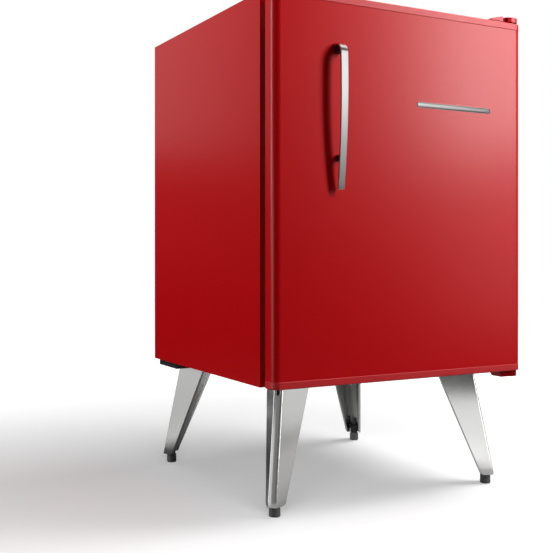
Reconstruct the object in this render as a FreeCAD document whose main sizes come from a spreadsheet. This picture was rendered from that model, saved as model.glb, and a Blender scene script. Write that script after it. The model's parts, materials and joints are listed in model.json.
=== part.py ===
"""Retro mini fridge on four splayed sheet-metal legs, as a parametric assembly.

Millimetres. +Z is up, the door faces -Y, the hinges are on the +X side and z = 0 is the floor.
While the pieces are drawn, y = 0 is the front face of the cabinet. Each sub-part's Placement then
shifts it by FRAME_SHIFT, so that the origin lies under the middle of the whole fridge. Blocks that
only cut reach 1 mm past the faces they open.
"""
import FreeCAD, Part
import math
import os
import re
import Sketcher

V = FreeCAD.Vector
doc = FreeCAD.newDocument("mini_fridge")
sheet = doc.addObject("Spreadsheet::Sheet", "Sizes")

# ---------------------------------------------------------------- driving dimensions
SIZES = {
    # cabinet
    "cabinet_width": 482.0,
    "cabinet_depth": 430.6,
    "cabinet_height": 593.0,
    "ground_clearance": 199.5,
    "case_sheet": 0.8,
    "bottom_flange": 16.0,
    "wall_side": 42.0,
    "wall_top": 42.0,
    "wall_back": 45.0,
    "wall_floor": 42.0,
    "liner_sheet": 1.5,
    "liner_lip": 12.0,
    "opening_gap": 0.2,
    "back_recess": 6.0,
    "bay_depth": 165.0,
    "bay_height": 190.0,
    "bay_wall": 40.0,
    # shelves on ribs moulded in the liner
    "rib_reach": 8.0,
    "rib_thick": 6.0,
    "shelf_front": 96.0,
    "shelf_back_gap": 6.0,
    "shelf_step_gap": 29.5,
    "shelf_freezer_gap": 81.5,
    "shelf_glass": 4.0,
    "shelf_side_gap": 2.0,
    "trim_height": 14.0,
    "trim_depth": 12.0,
    "trim_wall": 2.0,
    "seat_gap": 0.2,
    # freezer box under the liner's ceiling
    "freezer_left_gap": 6.0,
    "freezer_right_gap": 106.0,
    "freezer_height": 104.0,
    "freezer_front": 128.0,
    "freezer_back_gap": 12.0,
    "freezer_sheet": 1.5,
    "freezer_drop": 6.0,
    "hanger_inset": 20.0,
    "hanger_radius": 6.0,
    "flap_thick": 3.0,
    "flap_gap": 1.5,
    "flap_lip_half": 40.0,
    "flap_lip_reach": 12.0,
    "flap_pin_radius": 2.5,
    "flap_pin_length": 3.0,
    "running_gap": 0.05,
    "ear_thick": 2.0,
    "tray_height": 24.0,
    "tray_wall": 2.0,
    "tray_rail": 3.0,
    "tray_front": 110.0,
    # thermostat
    "thermostat_width": 74.0,
    "thermostat_height": 62.0,
    "thermostat_depth": 34.0,
    "thermostat_front": 150.0,
    "knob_radius": 18.0,
    "knob_height": 14.0,
    "knob_shaft_radius": 3.0,
    "knob_shaft_length": 10.0,
    "knob_pointer": 2.0,
    "bulb_tube_radius": 1.2,
    # door
    "gasket_space": 16.8,
    "door_thick": 26.05,
    "door_lift": 0.8,
    "door_drop": 1.75,
    "door_sheet": 0.8,
    "door_corner": 12.0,
    "door_return": 12.0,
    "cap_top_height": 11.6,
    "cap_bottom_height": 11.35,
    "cap_proud": 0.8,
    "cap_edge": 2.5,
    "door_liner_edge": 0.3,
    "dyke_outer_gap": 11.0,
    "dyke_width": 16.0,
    "dyke_reach": 18.0,
    "dyke_end_gap": 14.0,
    "gasket_width": 15.0,
    "gasket_gap": 0.3,
    "gasket_hinge_gap": 3.2,
    "gasket_wall": 1.2,
    "magnet_width": 8.0,
    "magnet_thick": 3.0,
    # door bins
    "bin_reach": 74.0,
    "bin_wall": 2.2,
    "bin_height": 66.0,
    "bin_end_gap": 0.4,
    "bin_floor_gap": 2.0,
    "bin_pitch": 100.0,
    "bin_hook": 5.0,
    "bin_hook_height": 39.6,
    "bin_hook_inset": 2.0,
    "bin_back_gap": 1.0,
    "bin_hook_thick": 4.0,
    "bin_front_drop": 14.0,
    # handle
    "handle_inset": 110.5,
    "handle_width": 13.0,
    "handle_tip_width": 11.5,
    "handle_thick": 3.0,
    "handle_reach": 20.3,
    "handle_drop": 73.75,
    "handle_length": 220.5,
    "handle_crest_drop": 64.0,
    "handle_bow": 1250.0,
    "handle_bend": 16.0,
    "standoff_rise": 48.0,
    "standoff_radius": 5.0,
    "handle_screw_radius": 2.0,
    "handle_screw_grip": 6.0,
    "standoff_hole_gap": 0.2,
    "standoff_gap": 0.05,
    # badge
    "badge_inset": 69.4,
    "badge_length": 152.8,
    "badge_drop": 158.25,
    "badge_height": 9.0,
    "badge_thick": 1.2,
    "badge_corner": 3.6,
    # hinges
    "hinge_side": 17.0,
    "hinge_ahead": 27.0,
    "hinge_plate": 3.0,
    "hinge_plate_half": 12.0,
    "hinge_plate_corner": 11.5,
    "hinge_plate_back": 52.0,
    "hinge_pin_radius": 4.0,
    "hinge_pin_depth": 10.0,
    "bush_wall": 2.5,
    "collar_thick": 0.5,
    "knuckle_radius": 15.0,
    "knuckle_depth": 5.7,
    "knuckle_wing": 30.0,
    "knuckle_half": 12.0,
    "knuckle_slope": 6.0,
    "cover_height": 8.0,
    "cover_wall": 1.6,
    "cover_gap": 2.0,
    "cover_left": 48.0,
    "cover_back": 64.0,
    "cover_slope": 6.0,
    "cover_shoulder": 20.0,
    "cover_slot": 5.0,
    "cover_slot_depth": 26.0,
    "cover_corner": 14.04,
    "screw_row_near": 15.6,
    "screw_row_far": 39.0,
    "hinge_screw_radius": 2.5,
    "hinge_screw_head": 4.5,
    "hinge_screw_length": 9.0,
    "screw_head_thick": 2.0,
    # legs
    "foot_side_inset": 31.5,
    "foot_front_inset": 12.0,
    "foot_rear_inset": 7.6,
    "leg_foot_height": 16.0,
    "leg_sheet": 1.5,
    "leg_nose_bottom": 15.2,
    "leg_nose_retreat": 36.8,
    "leg_wing_bottom": 14.4,
    "leg_wing_top": 58.6,
    "leg_half_angle": 26.5,
    "leg_bend": 5.0,
    "leg_nose_flat": 2.3,
    "leg_plate": 2.0,
    "leg_hem": 7.0,
    "insert_height": 34.0,
    "insert_gap": 0.2,
    "insert_boss": 2.2,
    "foot_radius": 9.0,
    "foot_gap": 0.3,
    "foot_edge": 1.2,
    "stud_radius": 4.0,
    "stud_length": 26.0,
    "leg_screw_radius": 2.5,
    "leg_screw_head": 4.5,
    "leg_screw_offset": 7.2,
    # machine bay
    "base_drop": 12.0,
    "base_sheet": 2.0,
    "base_side_gap": 113.0,
    "base_depth": 144.6,
    "base_back_inset": 3.0,
    "base_strip": 14.5,
    "base_ear_depth": 85.6,
    "base_ear_width": 30.0,
    "base_ear_inset": 9.0,
    "compressor_radius": 62.0,
    "compressor_height": 138.0,
    "compressor_inset": 78.6,
    "compressor_floor": 49.6,
    "compressor_bowl": 20.7,
    "compressor_dome": 27.6,
    "compressor_crown": 37.2,
    "seam_height": 75.9,
    "seam_reach": 3.0,
    "compressor_foot": 8.0,
    "compressor_feet_x": 78.0,
    "compressor_feet_y": 38.0,
    "compressor_lug": 2.5,
    "grommet_radius": 9.0,
    "mount_bolt_radius": 3.0,
    "mount_bolt_head": 4.0,
    "terminal_width": 42.0,
    "terminal_height": 48.0,
    "terminal_depth": 26.0,
    "terminal_low": 27.6,
    "terminal_grip": 18.6,
    "gland_radius": 8.0,
    "gland_length": 22.0,
    "gland_inset": 91.0,
    "gland_rise": 50.5,
    "gland_plate": 2.0,
    "gland_plate_half": 24.0,
    "gland_bore": 3.5,
    "drier_radius": 9.0,
    "drier_length": 90.0,
    "drier_inset": 71.0,
    "drier_gap": 27.0,
    "liquid_line": 30.0,
    # condenser on the back
    "condenser_tube_radius": 2.4,
    "condenser_inset": 51.0,
    "condenser_rows": 9.0,
    "condenser_rise": 30.5,
    "condenser_top_gap": 48.5,
    "condenser_bend_gap": 0.5,
    "condenser_standoff": 14.0,
    "wire_radius": 0.8,
    "wire_count": 26.0,
    "wire_overhang": 9.0,
    "bracket_inset": 66.4,
    "bracket_width": 14.0,
    "pipe_radius": 2.6,
    "pipe_bend": 7.8,
    "pipe_rise": 10.4,
    "discharge_height": 41.4,
    "discharge_inset": 30.0,
    "suction_inset": 50.0,
    "drain_radius": 6.0,
    "drain_wall": 1.5,
    "pan_wall": 1.5,
    "pan_height": 16.0,
    "pan_half_width": 50.0,
}
for row, (alias, number) in enumerate(SIZES.items(), start=1):
    sheet.set(f"A{row}", alias.replace("_", " "))
    sheet.set(f"B{row}", str(number))
    sheet.setAlias(f"B{row}", alias)
doc.recompute()


def bound(expression):
    """An expression in plain aliases, with each alias written as the cell Sizes.alias."""
    def cell(word):
        return f"Sizes.{word[0]}" if word[0] in SIZES else word[0]
    return re.sub(r"[a-z_]+", cell, str(expression))


def value(expression):
    """The number that an expression has now."""
    return float(sheet.evalExpression(bound(expression)))


# ---------------------------------------------------------------- places shared by the pieces
HALF = "cabinet_width / 2"
CASE_LOW = "ground_clearance"
CASE_TOP = "(ground_clearance + cabinet_height)"
INNER_HALF = "(cabinet_width / 2 - wall_side)"
INNER_TOP = "(ground_clearance + cabinet_height - wall_top)"
INNER_FLOOR = "(ground_clearance + wall_floor)"
INNER_BACK = "(cabinet_depth - wall_back)"
BAY_FRONT = "(cabinet_depth - bay_depth)"
BAY_TOP = "(ground_clearance + bay_height)"
STEP_FRONT = "(cabinet_depth - bay_depth - bay_wall)"
STEP_TOP = "(ground_clearance + bay_height + bay_wall)"
BACK_INNER = "(cabinet_depth - back_recess - case_sheet)"
DOOR_BACK = "(-gasket_space)"
DOOR_FRONT = "(-gasket_space - door_thick)"
DOOR_LOW = "(ground_clearance + door_lift)"
DOOR_TOP = "(ground_clearance + cabinet_height - door_drop)"
SKIN_LOW = "(ground_clearance + door_lift + cap_bottom_height)"
SKIN_TOP = "(ground_clearance + cabinet_height - door_drop - cap_top_height)"
HINGE_X = "(cabinet_width / 2 - hinge_side)"
HINGE_Y = "(-hinge_ahead)"
SHELF_LOWER = "(ground_clearance + bay_height + bay_wall + shelf_step_gap)"
SHELF_UPPER = ("(ground_clearance + cabinet_height - wall_top"
               " - freezer_drop - freezer_height - shelf_freezer_gap)")
FRAME_SHIFT = ("((gasket_space + door_thick + handle_reach"
               " - cabinet_depth - condenser_standoff - condenser_tube_radius - 2 * wire_radius) / 2)")
TINY = 1e-6
nodes = []


# ---------------------------------------------------------------- helpers
def drive(thing, name, expression):
    """Bind one property of an object to an expression of the sheet's cells."""
    thing.setExpression(name, bound(expression))


def keep(thing, node):
    """Name a finished sub-part and shift it into the frame of the whole fridge."""
    thing.Label = node
    drive(thing, "Placement.Base.y", FRAME_SHIFT)
    nodes.append(thing)
    return thing


def brick(x0, x1, y0, y1, z0, z1):
    """A Part box between six planes."""
    box = doc.addObject("Part::Box", "Box")
    for size, place, low, high in (("Length", "x", x0, x1), ("Width", "y", y0, y1), ("Height", "z", z0, z1)):
        drive(box, size, f"({high}) - ({low})")
        drive(box, f"Placement.Base.{place}", low)
    return box


def rod(x, y, z0, z1, radius):
    """A Part cylinder along +Z."""
    cylinder = doc.addObject("Part::Cylinder", "Rod")
    drive(cylinder, "Radius", radius)
    drive(cylinder, "Height", f"({z1}) - ({z0})")
    for place, expression in (("x", x), ("y", y), ("z", z0)):
        drive(cylinder, f"Placement.Base.{place}", expression)
    return cylinder


def turned_rod(x, y, z, length, radius, axis):
    """A Part cylinder that starts at (x, y, z) and runs along the given world axis."""
    cylinder = doc.addObject("Part::Cylinder", "Rod")
    drive(cylinder, "Radius", radius)
    drive(cylinder, "Height", length)
    cylinder.Placement.Rotation = FreeCAD.Rotation(V(0, 0, 1), V(*axis))
    for place, expression in (("x", x), ("y", y), ("z", z)):
        drive(cylinder, f"Placement.Base.{place}", expression)
    return cylinder


def joined(*pieces):
    """One shape fused from several."""
    fuse = doc.addObject("Part::MultiFuse", "Joined")
    fuse.Shapes = list(pieces)
    return fuse


def less(base, *tools):
    """The base with every tool cut away."""
    cut = doc.addObject("Part::Cut", "Less")
    cut.Base = base
    cut.Tool = tools[0] if len(tools) == 1 else joined(*tools)
    return cut


def group(*pieces):
    """Several separate solids kept as one sub-part."""
    compound = doc.addObject("Part::Compound", "Group")
    compound.Links = list(pieces)
    return compound


def new_body(node):
    """An empty body."""
    return doc.addObject("PartDesign::Body", node)


def sketch_on(body, role, offset="0"):
    """A sketch on one of the body's own origin planes, moved along that plane's normal."""
    sketch = body.newObject("Sketcher::SketchObject", f"{body.Name}Sketch")
    plane = next(feature for feature in body.Origin.OriginFeatures if feature.Role == role)
    sketch.AttachmentSupport = [(plane, "")]
    sketch.MapMode = "FlatFace"
    drive(sketch, "AttachmentOffset.Base.z", offset)
    return sketch


def tie(sketch, kind, *where, expression):
    """Add one dimension to a sketch and bind it to the sheet."""
    index = sketch.addConstraint(Sketcher.Constraint(kind, *where, value(expression)))
    drive(sketch, f"Constraints[{index}]", expression)


def draw_outline(sketch, corners):
    """A closed outline of straight lines whose corners are dimensioned from the sketch's origin."""
    first = sketch.GeometryCount
    points = [V(value(across), value(up), 0) for across, up in corners]
    count = len(points)
    for index in range(count):
        sketch.addGeometry(Part.LineSegment(points[index], points[(index + 1) % count]), False)
    for index in range(count):
        following = first + (index + 1) % count
        sketch.addConstraint(Sketcher.Constraint("Coincident", first + index, 2, following, 1))
    for index, (across, up) in enumerate(corners):
        tie(sketch, "DistanceX", -1, 1, first + index, 1, expression=across)
        tie(sketch, "DistanceY", -1, 1, first + index, 1, expression=up)


def draw_rectangle(sketch, left, right, low, high):
    """A rectangle given by its four sides."""
    draw_outline(sketch, [(left, low), (right, low), (right, high), (left, high)])


def draw_circle(sketch, across, up, radius):
    """A circle whose centre and radius are dimensioned."""
    index = sketch.addGeometry(Part.Circle(V(value(across), value(up), 0), V(0, 0, 1), value(radius)), False)
    tie(sketch, "DistanceX", -1, 1, index, 3, expression=across)
    tie(sketch, "DistanceY", -1, 1, index, 3, expression=up)
    tie(sketch, "Radius", index, expression=radius)


def pad(body, sketch, length, reverse=False, both=False):
    """A pad along the sketch's normal, against it, or to both sides of it."""
    feature = body.newObject("PartDesign::Pad", f"{body.Name}Pad")
    feature.Profile = sketch
    drive(feature, "Length", length)
    feature.Reversed = reverse
    feature.Midplane = both
    doc.recompute()
    return feature


def pocket(body, sketch, length, reverse=False, both=False):
    """A pocket, with a check that it really cut something."""
    before = body.Shape.Volume
    feature = body.newObject("PartDesign::Pocket", f"{body.Name}Pocket")
    feature.Profile = sketch
    drive(feature, "Length", length)
    feature.Reversed = reverse
    feature.Midplane = both
    doc.recompute()
    assert body.Shape.Volume < before, f"{body.Name}: a pocket cut nothing"
    return feature


def fillet(body, feature, radius, chosen):
    """Round the edges of a feature that the function chosen picks by their shape."""
    edges = [f"Edge{index}" for index, edge in enumerate(feature.Shape.Edges, start=1) if chosen(edge)]
    rounding = body.newObject("PartDesign::Fillet", f"{body.Name}Fillet")
    rounding.Base = (feature, edges)
    drive(rounding, "Radius", radius)
    doc.recompute()
    return rounding


def upright(edge):
    """True for an edge that runs along Z."""
    start, end = edge.Vertexes[0].Point, edge.Vertexes[-1].Point
    return math.hypot(end.x - start.x, end.y - start.y) < TINY and abs(end.z - start.z) > TINY


def upright_at(depth):
    """A test for upright edges that stand at one depth."""
    plane = value(depth)
    return lambda edge: upright(edge) and abs(edge.Vertexes[0].Y - plane) < TINY


def level_at(height):
    """A test for edges that lie wholly at one height."""
    level = value(height)
    return lambda edge: abs(edge.BoundBox.ZMin - level) < TINY and abs(edge.BoundBox.ZMax - level) < TINY


def made(node, *solids):
    """A sub-part of one or more solids that are worked out here from the sheet's numbers."""
    feature = doc.addObject("Part::Feature", node)
    feature.Shape = Part.makeCompound(solids)
    return keep(feature, node)


# ---------------------------------------------------------------- cabinet
SCREW_ROWS = ("screw_row_near", "screw_row_far")
PLATE_LOW = f"({CASE_LOW} - hinge_plate)"


def hinge_screw_shanks():
    """The threaded lengths of the four hinge screws, which also make their holes."""
    top = f"({CASE_TOP} + hinge_plate)"
    shanks = []
    for y in SCREW_ROWS:
        shanks.append(rod(HINGE_X, y, f"{top} - hinge_screw_length", top, "hinge_screw_radius"))
        shanks.append(rod(HINGE_X, y, PLATE_LOW, f"{PLATE_LOW} + hinge_screw_length", "hinge_screw_radius"))
    return shanks


def outer_case():
    """Folded sheet: two sides, the top, the frame round the opening and the bottom flanges."""
    front_edge = "liner_sheet + opening_gap"
    block = brick(f"-{HALF}", HALF, "0", "cabinet_depth", CASE_LOW, CASE_TOP)
    inside = brick(f"case_sheet - {HALF}", f"{HALF} - case_sheet", "case_sheet", "cabinet_depth + 1",
                   f"{CASE_LOW} + case_sheet", f"{CASE_TOP} - case_sheet")
    opening = brick(f"-{INNER_HALF} - ({front_edge})", f"{INNER_HALF} + {front_edge}", "-1", "case_sheet + 1",
                    f"{INNER_FLOOR} - ({front_edge})", f"{INNER_TOP} + {front_edge}")
    underside = brick(f"bottom_flange - {HALF}", f"{HALF} - bottom_flange",
                      "bottom_flange", "cabinet_depth + 1", f"{CASE_LOW} - 1", f"{CASE_LOW} + case_sheet + 1")
    keep(less(block, inside, opening, underside, *hinge_screw_shanks()), "outer_case")


def bottom_panel():
    """Sheet that closes the insulated floor and steps up over the machine bay."""
    body = new_body("bottom_sheet")
    low, low_inside = f"{CASE_LOW} + case_sheet", f"{CASE_LOW} + 2 * case_sheet"
    step, step_inside = BAY_TOP, f"{BAY_TOP} + case_sheet"
    wall_inside = f"{BAY_FRONT} - case_sheet"
    profile = sketch_on(body, "YZ_Plane")
    draw_outline(profile, [("case_sheet", low), (BAY_FRONT, low), (BAY_FRONT, step), (BACK_INNER, step),
                           (BACK_INNER, step_inside), (wall_inside, step_inside), (wall_inside, low_inside),
                           ("case_sheet", low_inside)])
    pad(body, profile, "cabinet_width - 2 * case_sheet", both=True)
    keep(less(body, *hinge_screw_shanks()), "bottom_panel")


def back_panel():
    """Flat sheet that closes the insulated back, above the machine bay."""
    body = new_body("back_panel")
    outline = sketch_on(body, "XZ_Plane", f"-({BACK_INNER})")
    draw_rectangle(outline, f"case_sheet - {HALF}", f"{HALF} - case_sheet",
                   BAY_TOP, f"{CASE_TOP} - case_sheet")
    pad(body, outline, "case_sheet", reverse=True)
    keep(body, "back_panel")


def liner_profile(offset, front):
    """Side view of the inner space with its step over the machine bay, grown outwards by offset."""
    low, high = f"{INNER_FLOOR} - ({offset})", f"{INNER_TOP} + {offset}"
    step_front, step_top = f"{STEP_FRONT} + {offset}", f"{STEP_TOP} - ({offset})"
    back = f"{INNER_BACK} + {offset}"
    return [(front, low), (step_front, low), (step_front, step_top), (back, step_top),
            (back, high), (front, high)]


def cabinet_foam():
    """Insulation that fills the space between the sheets and the liner."""
    body = new_body("foam_block")
    low = f"{CASE_LOW} + 2 * case_sheet"
    wall = f"{BAY_FRONT} - case_sheet"
    step = f"{BAY_TOP} + case_sheet"
    profile = sketch_on(body, "YZ_Plane")
    high = f"{CASE_TOP} - case_sheet"
    draw_outline(profile, [("case_sheet", low), (wall, low), (wall, step), (BACK_INNER, step),
                           (BACK_INNER, high), ("case_sheet", high)])
    pad(body, profile, "cabinet_width - 2 * case_sheet", both=True)
    hollow = sketch_on(body, "YZ_Plane")
    draw_outline(hollow, liner_profile("liner_sheet", "-1"))
    pocket(body, hollow, f"2 * {INNER_HALF} + 2 * liner_sheet", both=True)
    lip = sketch_on(body, "XZ_Plane", "-case_sheet")
    draw_rectangle(lip, f"-{INNER_HALF} - liner_lip", f"{INNER_HALF} + liner_lip",
                   f"{INNER_FLOOR} - liner_lip", f"{INNER_TOP} + liner_lip")
    pocket(body, lip, "liner_sheet")
    keep(less(body, *hinge_screw_shanks()), "cabinet_foam")


def inner_liner():
    """Vacuum-formed tub with a step over the machine bay, a lip behind the case frame and shelf ribs."""
    body = new_body("inner_liner")
    outer = sketch_on(body, "YZ_Plane")
    draw_outline(outer, liner_profile("liner_sheet", "0"))
    pad(body, outer, f"2 * {INNER_HALF} + 2 * liner_sheet", both=True)
    lip = sketch_on(body, "XZ_Plane", "-case_sheet")
    draw_rectangle(lip, f"-{INNER_HALF} - liner_lip", f"{INNER_HALF} + liner_lip",
                   f"{INNER_FLOOR} - liner_lip", f"{INNER_TOP} + liner_lip")
    pad(body, lip, "liner_sheet", reverse=True)
    hollow = sketch_on(body, "YZ_Plane")
    draw_outline(hollow, liner_profile("0", "-1"))
    pocket(body, hollow, f"2 * {INNER_HALF}", both=True)
    ribs = sketch_on(body, "XZ_Plane", "-shelf_front")
    low, high = f"{SHELF_LOWER} - seat_gap - rib_thick", f"{SHELF_LOWER} - seat_gap"
    draw_rectangle(ribs, f"-{INNER_HALF} - liner_sheet / 2", f"rib_reach - {INNER_HALF}", low, high)
    draw_rectangle(ribs, f"{INNER_HALF} - rib_reach", f"{INNER_HALF} + liner_sheet / 2", low, high)
    rib_pad = pad(body, ribs, f"{INNER_BACK} - shelf_front + liner_sheet / 2", reverse=True)
    rows = body.newObject("PartDesign::LinearPattern", "ShelfRibs")
    rows.Originals = [rib_pad]
    rows.Direction = (ribs, ["V_Axis"])
    drive(rows, "Length", f"{SHELF_UPPER} - {SHELF_LOWER}")
    rows.Occurrences = 2
    body.Tip = rows
    doc.recompute()
    keep(body, "inner_liner")


def shelf(node, height):
    """Glass pane with ground corners that rests on two ribs."""
    body = new_body(node)
    outline = sketch_on(body, "XY_Plane", height)
    draw_rectangle(outline, f"shelf_side_gap - {INNER_HALF}", f"{INNER_HALF} - shelf_side_gap",
                   "shelf_front", f"{INNER_BACK} - shelf_back_gap")
    pane = pad(body, outline, "shelf_glass")
    fillet(body, pane, "shelf_glass", upright)
    keep(body, node)


def shelf_trim(node, height):
    """Moulded channel clipped over the front edge of a glass shelf."""
    half = f"({INNER_HALF} - rib_reach - shelf_side_gap)"
    low = f"{height} - (trim_height - shelf_glass) / 2"
    channel = brick(f"-{half}", half, "shelf_front - trim_wall", "shelf_front + trim_depth",
                    low, f"{low} + trim_height")
    slot = brick(f"-{half} - 1", f"{half} + 1", "shelf_front", "shelf_front + trim_depth + 1",
                 height, f"{height} + shelf_glass")
    keep(less(channel, slot), node)


# ---------------------------------------------------------------- freezer box
FREEZER_LEFT = f"(freezer_left_gap - {INNER_HALF})"
FREEZER_RIGHT = f"({INNER_HALF} - freezer_right_gap)"
FREEZER_TOP = f"({INNER_TOP} - freezer_drop)"
FREEZER_LOW = f"({INNER_TOP} - freezer_drop - freezer_height)"
FREEZER_BACK = f"({INNER_BACK} - freezer_back_gap)"
FLAP_AXIS_Y = "(freezer_front - flap_thick / 2 - flap_gap)"
FLAP_AXIS_Z = f"({FREEZER_TOP} - freezer_sheet - 2 * flap_pin_radius)"
FLAP_LEFT = f"({FREEZER_LEFT} + ear_thick + flap_gap)"
FLAP_RIGHT = f"({FREEZER_RIGHT} - ear_thick - flap_gap)"
EAR_FRONT = f"{FLAP_AXIS_Y} - 2 * flap_pin_radius"


def freezer_box():
    """Aluminium evaporator box, open at the front, with two ears that carry the flap's pins."""
    block = brick(FREEZER_LEFT, FREEZER_RIGHT, "freezer_front", FREEZER_BACK, FREEZER_LOW, FREEZER_TOP)
    inside = brick(f"{FREEZER_LEFT} + freezer_sheet", f"{FREEZER_RIGHT} - freezer_sheet", "freezer_front - 1",
                   f"{FREEZER_BACK} - freezer_sheet", f"{FREEZER_LOW} + freezer_sheet",
                   f"{FREEZER_TOP} - freezer_sheet")
    ears = []
    for low_x in (FREEZER_LEFT, f"{FREEZER_RIGHT} - ear_thick"):
        ears.append(brick(low_x, f"{low_x} + ear_thick", EAR_FRONT, "freezer_front + 1",
                          f"{FLAP_AXIS_Z} - 3 * flap_pin_radius", FREEZER_TOP))
    shell = joined(less(block, inside), *ears, *tray_rails())
    bore = turned_rod(f"{FREEZER_LEFT} - 1", FLAP_AXIS_Y, FLAP_AXIS_Z,
                      f"{FREEZER_RIGHT} - {FREEZER_LEFT} + 2", "flap_pin_radius + running_gap", (1, 0, 0))
    keep(less(shell, bore), "freezer_box")


def freezer_hangers():
    """Four posts between the liner's ceiling and the freezer box."""
    posts = []
    for x in (f"{FREEZER_LEFT} + hanger_inset", f"{FREEZER_RIGHT} - hanger_inset"):
        for y in ("freezer_front + hanger_inset", f"{FREEZER_BACK} - hanger_inset"):
            posts.append(rod(x, y, FREEZER_TOP, INNER_TOP, "hanger_radius"))
    keep(group(*posts), "freezer_hangers")


def freezer_flap():
    """Moulded door of the freezer box, with a finger lip and a pin at each top corner."""
    low = f"({FREEZER_LOW} + flap_gap)"
    middle = f"({FLAP_LEFT} + {FLAP_RIGHT}) / 2"
    width = f"{FLAP_RIGHT} - {FLAP_LEFT}"
    panel = brick(FLAP_LEFT, FLAP_RIGHT, f"{FLAP_AXIS_Y} - flap_thick / 2", f"{FLAP_AXIS_Y} + flap_thick / 2",
                  low, FLAP_AXIS_Z)
    pins = turned_rod(f"{FLAP_LEFT} - flap_pin_length", FLAP_AXIS_Y, FLAP_AXIS_Z,
                      f"{width} + 2 * flap_pin_length", "flap_pin_radius", (1, 0, 0))
    lip = brick(f"{middle} - flap_lip_half", f"{middle} + flap_lip_half",
                f"{FLAP_AXIS_Y} - flap_lip_reach", FLAP_AXIS_Y, low, f"{low} + flap_thick")
    keep(joined(panel, pins, lip), "freezer_flap")


def tray_rails():
    """Two angle rails under the freezer box that carry the drip tray's rims."""
    low, foot_top = f"{FREEZER_LOW} - 3 * tray_rail", f"{FREEZER_LOW} - 2 * tray_rail"
    rails = []
    for web, foot in (((FREEZER_LEFT, f"{FREEZER_LEFT} + tray_rail"),
                       (FREEZER_LEFT, f"{FREEZER_LEFT} + 2 * tray_rail")),
                      ((f"{FREEZER_RIGHT} - tray_rail", FREEZER_RIGHT),
                       (f"{FREEZER_RIGHT} - 2 * tray_rail", FREEZER_RIGHT))):
        rails.append(brick(*web, "freezer_front", FREEZER_BACK, low, FREEZER_LOW))
        rails.append(brick(*foot, "freezer_front", FREEZER_BACK, low, foot_top))
    return rails


def drip_tray():
    """Shallow tray with side rims that slides on the rails under the freezer box."""
    rim_low = f"{FREEZER_LOW} - 2 * tray_rail + seat_gap"
    rim_high = f"{rim_low} + tray_wall"
    left = f"({FREEZER_LEFT} + tray_rail + tray_wall / 2)"
    right = f"({FREEZER_RIGHT} - tray_rail - tray_wall / 2)"
    inner_left = f"({FREEZER_LEFT} + 2 * tray_rail + tray_wall / 2)"
    inner_right = f"({FREEZER_RIGHT} - 2 * tray_rail - tray_wall / 2)"
    back = f"{FREEZER_BACK} - tray_wall"
    rim = brick(left, right, "tray_front", back, rim_low, rim_high)
    bowl = brick(inner_left, inner_right, "tray_front", back, f"{rim_high} - tray_height", rim_high)
    inside = brick(f"{inner_left} + tray_wall", f"{inner_right} - tray_wall", "tray_front + tray_wall",
                   f"{back} - tray_wall", f"{rim_high} - tray_height + tray_wall", f"{rim_high} + 1")
    keep(less(joined(rim, bowl), inside), "drip_tray")


# ---------------------------------------------------------------- thermostat
THERMOSTAT_RIGHT = f"({INNER_HALF})"
THERMOSTAT_LEFT = f"({INNER_HALF} - thermostat_width)"
KNOB_X = f"({INNER_HALF} - thermostat_width / 2)"
KNOB_Z = f"({INNER_TOP} - thermostat_height / 2)"


def thermostat_housing():
    """Moulded box in the top right corner of the liner, with a bore for the knob's shaft."""
    body = new_body("thermostat_housing")
    outline = sketch_on(body, "XZ_Plane", "-thermostat_front")
    draw_rectangle(outline, THERMOSTAT_LEFT, THERMOSTAT_RIGHT, f"{INNER_TOP} - thermostat_height", INNER_TOP)
    pad(body, outline, "thermostat_depth", reverse=True)
    bore = sketch_on(body, "XZ_Plane", "-thermostat_front")
    draw_circle(bore, KNOB_X, KNOB_Z, "knob_shaft_radius + running_gap")
    pocket(body, bore, "knob_shaft_length + seat_gap")
    keep(body, "thermostat_housing")


def thermostat_knob():
    """Fluted knob with a pointer rib and a shaft that turns in the housing."""
    body = new_body("thermostat_knob")
    disc = sketch_on(body, "XZ_Plane", "seat_gap - thermostat_front")
    draw_circle(disc, KNOB_X, KNOB_Z, "knob_radius")
    pad(body, disc, "knob_height")
    pointer = sketch_on(body, "XZ_Plane", "seat_gap - thermostat_front + knob_height")
    draw_rectangle(pointer, f"{KNOB_X} - knob_pointer / 2", f"{KNOB_X} + knob_pointer / 2",
                   KNOB_Z, f"{KNOB_Z} + knob_radius - knob_pointer")
    pad(body, pointer, "knob_pointer")
    shaft = sketch_on(body, "XZ_Plane", "seat_gap - thermostat_front")
    draw_circle(shaft, KNOB_X, KNOB_Z, "knob_shaft_radius")
    pad(body, shaft, "knob_shaft_length", reverse=True)
    keep(body, "thermostat_knob")


def thermostat_tube():
    """Capillary from the thermostat to the freezer box's side, where its bulb is clamped."""
    start = f"(thermostat_front + thermostat_depth / 2)"
    length = f"{THERMOSTAT_LEFT} - {FREEZER_RIGHT}"
    bulb = turned_rod(FREEZER_RIGHT, start, KNOB_Z, length, "bulb_tube_radius", (1, 0, 0))
    keep(group(bulb), "thermostat_tube")


# ---------------------------------------------------------------- door
def door_slab(node, inset, low, high, back):
    """Upright block of the door's outline, with both front corners rounded, drawn inset from the skin."""
    body = new_body(node)
    outline = sketch_on(body, "XY_Plane", low)
    draw_rectangle(outline, f"-{HALF} + {inset}", f"{HALF} - ({inset})", f"{DOOR_FRONT} + {inset}", back)
    block = pad(body, outline, f"({high}) - ({low})")
    fillet(body, block, f"door_corner - ({inset})", upright_at(f"{DOOR_FRONT} + {inset}"))
    return body


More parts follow.
